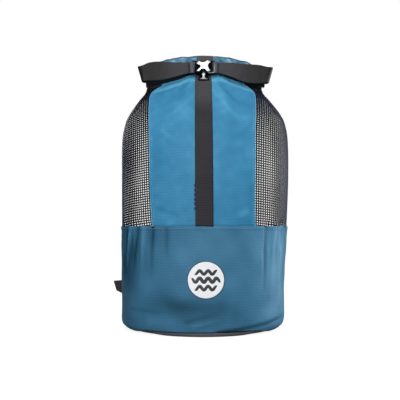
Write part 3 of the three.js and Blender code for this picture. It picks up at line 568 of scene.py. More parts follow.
def woven_webbing(name, dark, light, roughness, rib, rib_depth, highlight_and_wear=None, sheen=0.25):
    """Polypropylene webbing, woven on a narrow loom. Its weft makes close ribs across the strap, and its
    smooth yarn a dull gloss that is a little greyer than the yarn. The optional pale stretch gives a place
    along the strap, in millimetres, where it starts to be painted paler as a highlight, and the colour that
    it is painted to."""
    made, tree, shader = new_material(
        name,
        {
            "IOR": 1.49,
            "Sheen Weight": sheen,
            "Sheen Roughness": 0.4,
            "Sheen Tint": colour("#c9c9d2"),
            "Specular IOR Level": 0.3,
            "Roughness": roughness,
        },
    )
    place, along, up = cloth_place(tree, wave_height=2.0)
    ribs = add_node(tree, "Math", {0: up, 1: rib / 2}, operation="PINGPONG")
    rib_share = add_node(tree, "Math", {0: ribs.outputs[0], 1: rib / 2}, operation="DIVIDE")
    yarn = add_node(tree, "TexNoise", {"Vector": place, "Scale": 0.35, "Detail": 3.0})
    mottle = add_node(
        tree, "Math", {0: yarn.outputs["Fac"], 1: 0.55, 2: -0.05}, operation="MULTIPLY_ADD"
    )
    tone = add_node(
        tree,
        "Math",
        {0: rib_share.outputs[0], 1: 0.35, 2: mottle.outputs[0]},
        operation="MULTIPLY_ADD",
        use_clamp=True,
    )
    shade = add_node(
        tree, "Mix", {"Factor": tone.outputs[0], 6: colour(dark), 7: colour(light)}, data_type="RGBA"
    )
    surface = shade
    if highlight_and_wear:
        wear_and_painted_light = add_node(
            tree,
            "MapRange",
            {"Value": up, "From Min": highlight_and_wear[0], "From Max": highlight_and_wear[1], "To Max": 0.85},
            interpolation_type="SMOOTHSTEP",
        )
        patchy = add_node(
            tree,
            "Math",
            {0: wear_and_painted_light.outputs[0], 1: mottle.outputs[0], 2: wear_and_painted_light.outputs[0]},
            operation="MULTIPLY_ADD",
        )
        surface = add_node(
            tree,
            "Mix",
            {"Factor": patchy.outputs[0], 6: shade.outputs[2], 7: colour(highlight_and_wear[2])},
            data_type="RGBA",
            clamp_factor=True,
        )
    tree.links.new(surface.outputs[2], shader.inputs["Base Color"])
    cross_ribs = add_node(tree, "Math", {0: along, 1: rib * 0.4}, operation="PINGPONG")
    fine = add_node(
        tree, "Math", {0: cross_ribs.outputs[0], 1: 0.5, 2: ribs.outputs[0]}, operation="MULTIPLY_ADD"
    )
    bump = add_node(
        tree, "Bump", {"Height": fine.outputs[0], "Distance": rib_depth * MM, "Strength": 0.7}
    )
    tree.links.new(bump.outputs["Normal"], shader.inputs["Normal"])
    return made


def coated_mesh(name):
    """Polyester net dipped in vinyl. The coating fills the knots and gives black strands that shine a cool
    grey where they are seen edge-on."""
    made, tree, shader = new_material(
        name,
        {
            "IOR": 1.52,
            "Sheen Weight": 0.14,
            "Sheen Roughness": 0.3,
            "Sheen Tint": colour("#6f86e0"),
            "Specular IOR Level": 0.2,
        },
    )
    place = cloth_place(tree)[0]
    grain = add_node(tree, "TexNoise", {"Vector": place, "Scale": 0.6, "Detail": 2.0})
    shade = add_node(
        tree,
        "Mix",
        {"Factor": grain.outputs["Fac"], 6: colour("#050507"), 7: colour("#101116")},
        data_type="RGBA",
    )
    tree.links.new(shade.outputs[2], shader.inputs["Base Color"])
    gloss = add_node(
        tree, "MapRange", {"Value": grain.outputs["Fac"], "To Min": 0.35, "To Max": 0.6}
    )
    tree.links.new(gloss.outputs["Result"], shader.inputs["Roughness"])
    bump = add_node(
        tree, "Bump", {"Height": grain.outputs["Fac"], "Distance": 0.25 * MM, "Strength": 0.6}
    )
    tree.links.new(bump.outputs["Normal"], shader.inputs["Normal"])
    return made


def grained(name, dark, light, grain, inputs, bump_depth):
    """A moulded, cast or printed surface with a fine grain of a given size in millimetres."""
    made, tree, shader = new_material(name, inputs)
    place = add_node(tree, "TexCoord")
    speck = add_node(
        tree,
        "TexNoise",
        {"Vector": place.outputs["Object"], "Scale": 1 / (grain * MM), "Detail": 3.0},
    )
    shade = add_node(
        tree,
        "Mix",
        {"Factor": speck.outputs["Fac"], 6: colour(dark), 7: colour(light)},
        data_type="RGBA",
    )
    tree.links.new(shade.outputs[2], shader.inputs["Base Color"])
    bump = add_node(
        tree, "Bump", {"Height": speck.outputs["Fac"], "Distance": bump_depth * MM, "Strength": 0.5}
    )
    tree.links.new(bump.outputs["Normal"], shader.inputs["Normal"])
    return made


# Its pale and dark colours are painted highlight and painted shade, with some real wear and dirt
panel_nylon = ripstop_nylon(
    "panel_ripstop_nylon", "#3785ae", "#2d7097", "#4491b9", 0.55, 0.03, "#62b2d6", "#14608c"
)
# The same cloth where it has been rolled up many times: greyer, and creased to a dull gloss. Its pale and
# dark colours are painted highlights and shade on its crumples
rolled_nylon = ripstop_nylon(
    "rolled_ripstop_nylon", "#4b7996", "#3b6580", "#5988a4", 0.5, 0.05, "#9cc3d6", "#123c52"
)
# Its pale and dark colours are painted highlight and painted shade, with some real wear and dirt
base_nylon = ripstop_nylon(
    "base_ripstop_nylon", "#3c7191", "#2c5a77", "#447c9d", 0.5, 0.0, "#659dbd", "#143b4f", specular=0.08
)
# Paler nylon for the panels' felled edges, whose paler colour is a painted highlight
edge_nylon_painted_highlight = ripstop_nylon("felled_edge_nylon_painted_highlight", "#509cc2", "#448cb2", "#66abcc", 0.45, 0.1)
# The webbing on the panels, painted paler towards its top as a painted highlight of the light from above
body_webbing = woven_webbing(
    "body_webbing", "#151419", "#302f37", 0.62, 3.0, 0.35, highlight_and_wear=(215, 272, "#3a3a3f")
)
# The same webbing where it crosses the roll, painted paler both for yarn rubbed to a dull grey and as a
# painted highlight on the roll's upward-facing top
rolled_webbing_rubbed_and_highlit = woven_webbing("rolled_webbing_rubbed_and_highlit", "#333335", "#5a5a5b", 0.7, 3.0, 0.35)
band_webbing = woven_webbing("band_webbing", "#111113", "#252428", 0.5, 1.8, 0.2)
# The closing bands, painted paler towards the buckle as a painted highlight
closing_webbing = woven_webbing(
    "closing_webbing", "#070708", "#141315", 0.55, 1.8, 0.2, highlight_and_wear=(45, 115, "#343338"), sheen=0.08
)
# Paler grey webbing for the loops round the buckle's bars: the grey is a painted highlight of the webbing's
# fold
loop_webbing_painted_highlight = woven_webbing("loop_webbing_painted_highlight", "#3a3a3f", "#6b6b72", 0.5, 1.8, 0.3)
strap_webbing = woven_webbing("strap_webbing", "#161619", "#2e2d33", 0.6, 2.0, 0.3)
side_mesh_vinyl = coated_mesh("coated_polyester_mesh")
pad_binding = woven_webbing("pad_binding", "#0d0d10", "#1f1f23", 0.65, 1.2, 0.2)
# Grosgrain: a close ribbed ribbon, folded over the cloth's cut edges, dull and very dark
seam_binding = woven_webbing("seam_binding", "#10171f", "#26313d", 0.7, 1.2, 0.15)
# A darker blue tape that stands in for the shadow line at the base's seam: painted shadow
seam_shadow_tape = woven_webbing("seam_shadow_tape", "#1b4361", "#2a5c82", 0.6, 1.2, 0.15)

# Tarpaulin: polyester scrim calendered with vinyl, which leaves a fine leathery grain and a dull gloss
floor_tarpaulin = grained(
    "floor_tarpaulin", "#41444d", "#62656f", 1.6, {"Roughness": 0.55, "Specular IOR Level": 0.4}, 0.3
)
# Acetal: injection moulded, and so black that the studio's lights hardly show in it
moulded_acetal = grained(
    "moulded_acetal",
    "#020203",
    "#070708",
    0.8,
    {"Roughness": 0.3, "IOR": 1.48, "Specular IOR Level": 0.01},
    0.04,
)
# Acetal from a spark-eroded tool, which leaves an even, satin grain
satin_acetal = grained(
    "satin_acetal", "#131417", "#24262a", 0.7, {"Roughness": 0.45, "IOR": 1.48}, 0.12
)
# The same acetal painted pale grey and dull: a painted highlight on the right frame's lit edge and a painted
# reflection on the latch's skirt
painted_highlight_acetal = grained("painted_highlight_acetal", "#6a6b6e", "#85868a", 0.8, {"Roughness": 0.5, "IOR": 1.48}, 0.08)
# Zinc alloy: die cast, tumbled and plated, so it is a bright satin white metal
plated_zinc = grained(
    "plated_zinc_alloy", "#c6c8ca", "#d8d9db", 1.2, {"Metallic": 0.35, "Roughness": 0.35}, 0.05
)
# The same alloy on the small rivet, which handling has left dull
worn_zinc = grained("worn_zinc_alloy", "#b0b2b4", "#cfd1d3", 1.0, {"Metallic": 0.3, "Roughness": 0.4}, 0.05)
# Soft vinyl: a moulded badge, matt white with a dark printed layer
badge_vinyl = grained("badge_vinyl", "#e6e9ee", "#f6f8fa", 2.0, {"Roughness": 0.5, "IOR": 1.52}, 0.05)
badge_ink = grained("badge_ink", "#15171c", "#24272e", 1.0, {"Roughness": 0.45, "IOR": 1.5}, 0.03)
# Bonded nylon thread: twisted and waxed, so each stitch has a small clear highlight
blue_thread = grained("blue_thread", "#4d88ac", "#7fb4d0", 0.9, {"Roughness": 0.4}, 0.2)
navy_thread = grained("navy_thread", "#0b2c55", "#143f70", 0.9, {"Roughness": 0.4}, 0.2)
dark_thread = grained("dark_thread", "#111216", "#2c2d33", 0.9, {"Roughness": 0.4}, 0.2)
# Air mesh: a knitted spacer cloth over foam, matt, with small dimples
air_mesh = grained(
    "pad_air_mesh", "#101115", "#2b2c32", 3.2, {"Roughness": 0.9, "Sheen Weight": 0.4}, 0.9
)


# ---- Making meshes -----------------------------------------------------------------------------------------


def finish_mesh(name, vertices, faces, look, places=None, flat=False):
    """A mesh object from millimetres. places are the cloth coordinates of each corner of each face."""
    mesh = bpy.data.meshes.new(name)
    mesh.from_pydata((np.asarray(vertices) * MM).tolist(), [], [list(f) for f in faces])
    if places is not None:
        layer = mesh.uv_layers.new(name="cloth")
        layer.uv.foreach_set("vector", np.asarray(places, np.float32).ravel())
    mesh.polygons.foreach_set("use_smooth", [not flat] * len(mesh.polygons))
    mesh.materials.append(look)
    mesh.update()
    made = bpy.data.objects.new(name, mesh)
    bpy.context.scene.collection.objects.link(made)
    return made


def lengths(points, axis):
    """How far along the rows or columns of a grid each one lies, on average, in millimetres."""
    steps = np.linalg.norm(np.diff(points, axis=axis), axis=-1)
    return np.concatenate([[0.0], np.cumsum(steps.mean(1 - axis))])


def sheet(name, points, look, ring=False, keep=None, thickness=0.0, centre=False, wear_and_painted_light=None):
    """A cloth surface from a grid of points. A ring joins its last column to its first, and keep says which
    of its faces are there. The cloth's thickness goes inwards. The optional per-point tone runs from -1,
    painted shade and dirt, to 1, painted highlight and pale wear."""
    rows, columns = points.shape[:2]
    closed = np.concatenate([points, points[:, :1]], 1) if ring else points
    along = lengths(closed, 1)
    up = lengths(points, 0)
    if centre:
        along = along - along[-1] / 2
    wide = columns if ring else columns - 1
    j, i = np.meshgrid(np.arange(rows - 1), np.arange(wide), indexing="ij")
    if keep is not None:
        j, i = j[keep], i[keep]
    j, i = j.ravel(), i.ravel()
    corners = [(j, i), (j, i + 1), (j + 1, i + 1), (j + 1, i)]
    faces = np.stack([a * columns + b % columns for a, b in corners], -1)
    places = np.stack([np.stack([along[b], up[a]], -1) for a, b in corners], 1)
    made = finish_mesh(name, points.reshape(-1, 3), faces, look, places)
    if wear_and_painted_light is not None:
        layer = made.data.attributes.new("wear_and_painted_light", "FLOAT", "POINT")
        layer.data.foreach_set("value", np.clip(wear_and_painted_light, -1, 1).astype(np.float32).ravel())
    if thickness:
        solid = made.modifiers.new("cloth thickness", "SOLIDIFY")
        solid.thickness = thickness * MM
        solid.offset = -1
    return made


def on_bag(made, slot, *nodes):
    """The piece rides on the bag's one body and stands for CAD nodes. slot is not used."""
    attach(made, "root")
    if nodes:
        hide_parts(*nodes)
    return made


def strap_section(across, edge):
    """A strap's cross-section, as shares of its width and thickness: flat faces and rounded edges."""
    angles = np.radians(np.linspace(-90, 90, 7))
    right = [(0.5 - edge + edge * math.cos(a), 0.5 * math.sin(a)) for a in angles]
    left = [(-s, t) for s, t in reversed(right)]
    span = np.linspace(0.5 - edge, edge - 0.5, across + 1)[1:-1]
    return np.array(right + [(s, 0.5) for s in span] + left + [(s, -0.5) for s in -span])


def swept(name, route, outs, widths, thicknesses, look, across=10, closed=False):
    """A flat strap along a route. outs are its outward directions."""
    if closed:
        before, after = np.roll(route, 1, 0), np.roll(route, -1, 0)
    else:
        before = np.concatenate([route[:1], route[:-1]])
        after = np.concatenate([route[1:], route[-1:]])
    forward = unit(after - before)
    side = unit(np.cross(forward, outs))
    lift = np.cross(side, forward)
    widths = np.broadcast_to(widths, len(route))
    thicknesses = np.broadcast_to(thicknesses, len(route))
    section = strap_section(across, min(0.2, 0.5 * float(np.max(thicknesses) / np.max(widths))))
    rise = section[None, :, 1] * thicknesses[:, None]
    points = (
        route[:, None]
        + side[:, None] * (section[None, :, 0] * widths[:, None])[..., None]
        + lift[:, None] * rise[..., None]
    )
    rows, around = points.shape[:2]
    run = np.concatenate([[0.0], np.cumsum(np.linalg.norm(np.diff(route, axis=0), axis=1))])
    if closed:
        run = np.append(run, run[-1] + np.linalg.norm(route[0] - route[-1]))
    steps = rows if closed else rows - 1
    faces, places = [], []
    girth = lengths(np.concatenate([points, points[:, :1]], 1), 1)
    for j in range(steps):
        for i in range(around):
            k = (i + 1) % around
            down, up = j * around, ((j + 1) % rows) * around
            faces.append((down + i, up + i, up + k, down + k))
            places += [(girth[i], run[j]), (girth[i], run[j + 1]), (girth[i + 1], run[j + 1])]
            places.append((girth[i + 1], run[j]))
    if not closed:
        for start, order in ((0, range(around)), ((rows - 1) * around, reversed(range(around)))):
            order = list(order)
            faces.append([start + i for i in order])
            places += [(girth[i], run[0 if start == 0 else -1] + section[i, 1]) for i in order]
    made = finish_mesh(name, points.reshape(-1, 3), faces, look, places)
    return made


# One stitch lies along X, 1 long and 1 wide: rings of points, and the faces between them
STITCH_RINGS = table("at radius", (-0.5, 0.25), (-0.34, 0.48), (0.34, 0.48), (0.5, 0.25))
STITCH_SIDES = 6


def stitch_row(paths, outs, length, pitch, width, slant=0.0):
    """Stitches along paths as vertices and faces. outs are the outward directions at each path's points,
    and slant turns each stitch across its row."""
    vertices, faces = [], []
    angles = np.arange(STITCH_SIDES) * 2 * math.pi / STITCH_SIDES
    for path, out in zip(paths, outs):
        run = np.concatenate([[0.0], np.cumsum(np.linalg.norm(np.diff(path, axis=0), axis=1))])
        for middle in np.arange(pitch / 2, run[-1], pitch):
            ends = [
                np.array([np.interp(middle + s * pitch / 4, run, path[:, k]) for k in range(3)])
                for s in (-1, 1)
            ]
            up = unit(np.array([np.interp(middle, run, out[:, k]) for k in range(3)]))
            forward = unit(ends[1] - ends[0])
            across = np.cross(up, forward)
            forward = unit(forward + slant * across)
            across = np.cross(up, forward)
            centre = (ends[0] + ends[1]) / 2
            start = len(vertices)
            for at, radius in zip(STITCH_RINGS["at"], STITCH_RINGS["radius"]):
                for a in angles:
                    spread = across * math.cos(a) + up * math.sin(a) * 0.8
                    vertices.append(centre + forward * at * length + spread * radius * width)
            rings = len(STITCH_RINGS["at"])
            for r in range(rings - 1):
                for i in range(STITCH_SIDES):
                    k = (i + 1) % STITCH_SIDES
                    low, high = start + r * STITCH_SIDES, start + (r + 1) * STITCH_SIDES
                    faces.append((low + i, low + k, high + k, high + i))
            last = start + (rings - 1) * STITCH_SIDES
            faces.append([start + i for i in reversed(range(STITCH_SIDES))])
            faces.append([last + i for i in range(STITCH_SIDES)])
    return vertices, faces


def stitches(name, rows, look, slot):
    """One piece of stitching from several rows, each what stitch_row takes."""
    vertices, faces = [], []
    for row in rows:
        more, sides = stitch_row(*row)
        faces += [[v + len(vertices) for v in side] for side in sides]
        vertices += more
    return on_bag(finish_mesh(name, vertices, faces, look), slot)


def domed(name, outline, profile, back, look):
    """A moulded part: an outline in X and Z drawn in towards its middle as it comes forward from the plane
    y = back. profile rows are (share of the outline, millimetres forward)."""
    outline = np.asarray(outline, float)
    middle = outline.mean(0)
    count = len(outline)
    vertices = []
    for share, forward in profile:
        ring = middle + (outline - middle) * share
        vertices += [(x, back - forward, z) for x, z in ring]
    faces = []
    for r in range(len(profile) - 1):
        for i in range(count):
            k = (i + 1) % count
            faces.append((r * count + i, r * count + k, (r + 1) * count + k, (r + 1) * count + i))
    faces.append([i for i in reversed(range(count))])
    last = (len(profile) - 1) * count
    faces.append([last + i for i in range(count)])
    return finish_mesh(name, vertices, faces, look)


def curve_points(*corners, count=10):
    """A line through corners. One with four numbers is reached on a curve: control point, then end."""
    points = [corners[0]]
    for corner in corners[1:]:
        if len(corner) == 2:
            points.append(corner)
            continue
        start = np.array(points[-1], float)
        control, end = np.array(corner[:2], float), np.array(corner[2:], float)
        for t in np.linspace(0, 1, count + 1)[1:]:
            points.append(tuple(start * (1 - t) ** 2 + 2 * control * t * (1 - t) + end * t * t))
    return points


def soften(made, width, segments=2, angle=35):
    """Rounds a piece's sharp edges."""
    bevel = made.modifiers.new("rounded edges", "BEVEL")
    bevel.width = width * MM
    bevel.segments = segments
    bevel.limit_method = "ANGLE"
    bevel.angle_limit = math.radians(angle)
    bevel.harden_normals = True
    return made


# ---- The body ----------------------------------------------------------------------------------------------


GATHER_WIDE = 13  # from one gather to the next under the base's side seams
GATHER_NARROW = 7.3


def base_relief(turn, height):
    """How far the base's cloth stands out of its plain shape, in gathers under the side seams and folds."""
    around = around_front(turn)
    points = skin(turn, height)
    creases = -fold_depth(around, height, BASE_CREASES)
    sides = smooth(np.abs(np.degrees(around)), 34, 46) * (1 - smooth(np.abs(np.degrees(around)), 136, 148))
    below_seam = np.exp(-(((BASE_HEIGHT - height) / 55) ** 1.5))
    girth = around * (BAG_WIDTH + BAG_DEPTH) / 4
    slanted = girth + 0.12 * np.sign(around) * (BASE_HEIGHT - height)
    wander = 2.5 * drift(points, 90, 3)
    gathers = np.sin((slanted + wander) * 2 * math.pi / GATHER_WIDE)
    gathers = gathers + 0.6 * np.sin((slanted - wander) * 2 * math.pi / GATHER_NARROW + 1)
    soft = 1.1 * drift(points, 120, 5) + 0.45 * drift(points, 45, 6)
    foot = smooth(height, 0, 30)
    drawn_in = smooth(np.abs(np.degrees(around)), 50, 75) * (1 - smooth(np.abs(np.degrees(around)), 105, 130))
    return creases + sides * below_seam * gathers + soft * foot - 1.1 * drawn_in


def base_painted_light_and_wear(turn, height):
    """How pale or dark the base's cloth is painted: painted shade along its creases and highlight on their
    ridges, broad patches of painted shade and highlight, and a little random wear.
    """
    around = around_front(turn)
    total = 0.2 * -fold_depth(around, height, BASE_CREASES) + 0.12 * drift(skin(turn, height), 55, 7)
    for k in range(len(BASE_PAINTED_LIGHT["turn"])):
        across = (np.degrees(around) - BASE_PAINTED_LIGHT["turn"][k]) / BASE_PAINTED_LIGHT["wide"][k]
        up = (height / NECK_HEIGHT - BASE_PAINTED_LIGHT["rise"][k]) / BASE_PAINTED_LIGHT["tall"][k]
        total = total + BASE_PAINTED_LIGHT["amount"][k] * np.exp(-(across**2) - up**2)
    return total


def base_foot(turn):
    """The height of the base's lower edge, which hides the floor's rim at the bag's sides."""
    return mix(FLOOR_RIM + GAP, 2.0, smooth(np.abs(np.degrees(around_front(turn))), 34, 58))


def base_cloth():
    columns = 420
    share = np.concatenate([np.linspace(0, 0.2, 22), np.linspace(0.2, 1, 80)[1:]])
    turn, share = np.meshgrid(np.arange(columns) * 2 * math.pi / columns, share)
    height = mix(base_foot(turn), BASE_HEIGHT, share)
    relief = base_relief(turn, height)
    # The upper edge is turned under, as a hem that stands a little proud
    hem = 0.5 * smooth(height, BASE_HEIGHT - 8, BASE_HEIGHT - 6)
    hem = hem * (1 - smooth(height, BASE_HEIGHT - 1.4, BASE_HEIGHT))
    points = over_skin(turn, height, relief + hem)
    # Painted shade and highlight on the base's cloth, with a little random wear
    wear_and_painted_light = base_painted_light_and_wear(turn, height)
    made = sheet("base_cloth", points, base_nylon, ring=True, thickness=1.3, wear_and_painted_light=wear_and_painted_light)
    return on_bag(made, "base_cloth", "base_wall")


def panel_relief(turn, height):
    """How far the upper panels' cloth stands out of its plain shape."""
    around = around_front(turn)
    points = skin(turn, height)
    creases = -fold_depth(around, height, PANEL_CREASES)
    near_neck = smooth(height, 0.93 * NECK_HEIGHT, NECK_HEIGHT)
    soft = 1.0 * drift(points, 130, 11) + 0.45 * drift(points, 42, 12)
    puffed = 2.2 * smooth(height, 0.9 * NECK_HEIGHT, 0.975 * NECK_HEIGHT)
    puffed = puffed * (1 - smooth(height, 0.985 * NECK_HEIGHT, NECK_HEIGHT))
    return (creases + soft) * (1 - near_neck) + puffed


def front_left(height):
    return panel_turn(-PANEL_LEFT, height)


def front_right(height):
    return panel_turn(PANEL_RIGHT, height)


def back_left(height):
    return panel_turn(-BACK_PANEL_HALF, height, True)


def back_right(height):
    return panel_turn(BACK_PANEL_HALF, height, True)


def panel_edge(name, edge, inward):
    """The panel's cut edge, turned and felled, as a narrow ridge in paler nylon, which is a painted
    highlight.
    """
    rise = np.linspace(BASE_HEIGHT + 1, 0.97 * NECK_HEIGHT, 220)
    turn = further(edge(rise), rise, inward * 0.8)
    route = over_skin(turn, rise, panel_relief(turn, rise) + 0.5)
    made = swept(name, route, skin_normal(turn, rise), 1.7, 1.1, edge_nylon_painted_highlight, across=4)
    return on_bag(made, "panel_cloth")


INTO_ROLL = 7  # how far the panels and the mesh run on up, out of sight inside the roll


def upper_heights(count, seam_under=3.0):
    return np.linspace(BASE_HEIGHT - seam_under, NECK_HEIGHT + INTO_ROLL, count)


def upper_panel(name, node, from_turn, to_turn):
    rise = upper_heights(150)
    share = np.linspace(0, 1, 110)
    share_grid, height = np.meshgrid(share, rise)
    start, end = from_turn(height), to_turn(height)
    turn = mix(start, end, share_grid)
    edge = np.minimum(share_grid, 1 - share_grid) * 200
    # A folded hem down each side edge, 6 mm wide, and the lower edge tucked behind the base's hem
    hem = 0.7 * (1 - smooth(edge, 5, 7)) * smooth(edge, 0, 1.2)
    tucked = -1.6 * (1 - smooth(height, BASE_HEIGHT - 2, BASE_HEIGHT + 2.5))
    points = over_skin(turn, height, panel_relief(turn, height) + hem + tucked)
    creases = -fold_depth(around_front(turn), height, PANEL_CREASES)
    # Painted shade in the creases and painted highlight on their ridges, with random wear; a painted
    # highlight along the top edge that puffs out under the roll; and painted shade over the lower part, as
    # the light falls from above
    wear_and_painted_light = 0.25 * creases + 0.14 * drift(points, 60, 15) + 0.1 * drift(points, 22, 16, 14)
    wear_and_painted_light = wear_and_painted_light + 0.8 * smooth(height, 0.958 * NECK_HEIGHT, 0.972 * NECK_HEIGHT) - 0.05
    wear_and_painted_light = wear_and_painted_light - 0.16 * (1 - smooth(height, 0.42 * NECK_HEIGHT, 0.62 * NECK_HEIGHT))
    made = sheet(name, points, panel_nylon, thickness=1.2, centre=True, wear_and_painted_light=wear_and_painted_light)
    return on_bag(made, "panel_cloth", node)


MESH_PITCH = 4.4  # up the bag
MESH_COLUMN = 4.7  # from one column to the next beside a panel
MESH_STRETCH = 0.06  # and how much wider the holes are drawn with each column away from it
# How wide the strands are beside the front panel, and further round where the holes look smaller. The right
# side hangs slacker, so its holes are more closed.
MESH_STRAND = {-1: 2.2, 1: 2.4}
MESH_SIDE_STRAND = {-1: 3.2, 1: 4.0}
MESH_BACK_SHARE = 0.8  # how wide the rear half's strands are drawn, as a share of the front half's
MESH_HIDDEN_COLUMNS = 9
MESH_WIDENS = (43, 57)  # degrees from the front's middle, from where to where the strands grow wider
MESH_FOLD_TURN = 93  # degrees from the front's middle to the fold at the bag's side
MESH_SLACK_STRAND = 3.2  # near the roll
MESH_FOLD_STRAND = 4.1  # where the mesh is folded in at the shoulders, it lies double and its holes close
MESH_THICKNESS = 0.4
MESH_DROOP = 0.1  # how far its rows come down for each millimetre away from the panels
MESH_UNDER = 4.0  # how far the mesh runs in under the panels' hems
MESH_SMALLEST = 0.15  # a face that is narrower is left out
# The camera was found from the photo: the height of the base's seam, the curve of the floor's edge, and the
# width of the bag at two heights
CAMERA_PLACE = (-10.6, -1250, 197)


def mesh_relief(turn, height, share):
    """Soft waves, which fade out at the panels' hems."""
    points = skin(turn, height)
    edges = smooth(np.minimum(share, 1 - share), 0, 0.06)
    return 0.5 * drift(points, 160, 22) * edges - 1.4


def run_round(start, end, height):
    """For each height, turns from start to end and how far along the cloth each one lies."""
    fine = mix(start[:, None], end[:, None], np.linspace(0, 1, 240))
    steps = np.linalg.norm(np.diff(skin(fine, height[:, None] + 0 * fine), axis=1), axis=-1)
    return fine, np.concatenate([np.zeros((len(height), 1)), np.cumsum(steps, 1)], 1)


def mesh_strands(sign, front_edge, width_share):
    """The strands of a mesh's front half, as turns from the front's middle and heights: two columns for each
    strand that runs up, and two rows for each that runs across. width_share makes all of them slimmer."""
    fine = np.linspace(BASE_HEIGHT - 4, NECK_HEIGHT + INTO_ROLL, 300)
    fold_turn = math.radians(MESH_FOLD_TURN)
    tracks = [skin(sign * mix(front_edge(fine), fold_turn, share), fine) for share in (0.1, 0.5, 0.9)]
    rise_run = lengths(np.stack(tracks, 1), 0)
    count_up = int((rise_run[-1] + MESH_DROOP * BAG_WIDTH / 2) / MESH_PITCH)
    strand_run = (np.arange(count_up) + 0.5) * MESH_PITCH
    level = np.interp(strand_run, rise_run, fine)
    start = further(sign * front_edge(level), level, -sign * MESH_UNDER)
    turns, run = run_round(start, sign * fold_turn + 0 * level, level)
    fold = run[:, -1:]
    columns = np.arange(60) + 0.5
    away = MESH_COLUMN * columns + MESH_STRETCH * columns**2
    middles = np.minimum(away[: int(np.searchsorted(away, fold.max()))], fold)
    from_front = np.degrees(sign * np.stack([np.interp(m, r, t) for m, r, t in zip(middles, run, turns)]))
    width = mix(MESH_STRAND[sign], MESH_SIDE_STRAND[sign], smooth(from_front, *MESH_WIDENS))
    share_up = level[:, None] / NECK_HEIGHT
    # The mesh slackens as it narrows towards the roll, and its holes close up
    width = mix(width, MESH_SLACK_STRAND, smooth(share_up, 0.7, 0.93)) * width_share
    folded = smooth(share_up, 0.83, 0.87) * (1 - smooth(fold - middles, 5, 12))
    folded = np.maximum(folded, smooth(share_up, 0.935, 0.96))
    width = mix(width, MESH_FOLD_STRAND, folded)
    edges = np.stack([np.maximum(middles - width / 2, 0), np.minimum(middles + width / 2, fold)], -1)
    edges = np.where((middles == fold)[..., None], fold[..., None], edges).reshape(count_up, -1)
    turn = np.stack([np.interp(e, r, t) for e, r, t in zip(edges, run, turns)])
    drooped = strand_run[:, None] - MESH_DROOP * edges
    half = width.repeat(2, 1) / 2
    tall = np.stack([drooped - half, drooped + half], 1).reshape(2 * count_up, -1)
    return sign * turn.repeat(2, 0), np.interp(tall, rise_run, fine)


def mesh_behind(sign, back_edge, turn, height):
    """The strands of a mesh's rear half. They lie in line with the front half's, as seen from the photo's
    camera, so that the net looks as single as it does in the photo."""
    eye = np.array(CAMERA_PLACE)
    points = skin(sign * turn, height) - eye
    across = sign * points[..., 0] / points[..., 1]
    rising = points[..., 2] / points[..., 1]
    # More columns, which the front panel hides
    step = across[:, 2:4] - across[:, :2]
    more = [across[:, :2] - k * step for k in range(MESH_HIDDEN_COLUMNS, 0, -1)]
    across = np.concatenate(more + [across], 1)
    rising = np.concatenate([rising[:, :2]] * MESH_HIDDEN_COLUMNS + [rising], 1)
    height = np.concatenate([height[:, :2]] * MESH_HIDDEN_COLUMNS + [height], 1)
    for _ in range(4):
        last = sign * further(sign * back_edge(height), height, sign * MESH_UNDER)
        low = np.full(height.shape, math.radians(MESH_FOLD_TURN))
        high = last
        for _ in range(18):
            middle = (low + high) / 2
            seen = skin(sign * middle, height) - eye
            beyond = sign * seen[..., 0] / seen[..., 1] > across
            low, high = np.where(beyond, middle, low), np.where(beyond, high, middle)
        place = skin(sign * low, height)
        lifted = place[..., 2] - height
        height = eye[2] + rising * (place[..., 1] - eye[1]) - lifted
        height = np.clip(height, BASE_HEIGHT - 4, NECK_HEIGHT + INTO_ROLL)
    return low[:, ::-1], height[:, ::-1]


def side_mesh(name, node, sign, front_edge, back_edge):
    """The open mesh of one side: strands each way, with the holes left out of a grid, and given a thickness.
    The strands of each half end in a fold at the bag's side."""
    turn, height = mesh_strands(sign, front_edge, 1.0)
    slim_turn, slim_height = mesh_strands(sign, front_edge, MESH_BACK_SHARE)
    back_turn, back_height = mesh_behind(sign, back_edge, slim_turn, slim_height)
    turn = np.concatenate([turn, back_turn], 1)
    height = np.concatenate([height, back_height], 1)
    share = (turn - turn.min()) / (turn.max() - turn.min())
    points = over_skin(sign * turn, height, mesh_relief(sign * turn, height, share))
    if sign < 0:
        points = points[:, ::-1]
    j, i = np.meshgrid(np.arange(points.shape[0] - 1), np.arange(points.shape[1] - 1), indexing="ij")
    wide = np.linalg.norm(np.diff(points, axis=1), axis=-1)
    wide = np.maximum(wide[:-1], wide[1:])
    high = np.linalg.norm(np.diff(points, axis=0), axis=-1)
    high = np.maximum(high[:, :-1], high[:, 1:])
    keep = ((j % 2 == 0) | (i % 2 == 0)) & (wide > MESH_SMALLEST) & (high > MESH_SMALLEST)
    made = sheet(name, points, side_mesh_vinyl, keep=keep, thickness=MESH_THICKNESS)
    return on_bag(made, "side_mesh", node)


def strip_middle(height):
    share = (height - BASE_HEIGHT) / (NECK_HEIGHT - BASE_HEIGHT)
    return STRIP_SHIFT + STRIP_LEAN * (0.5 - share)


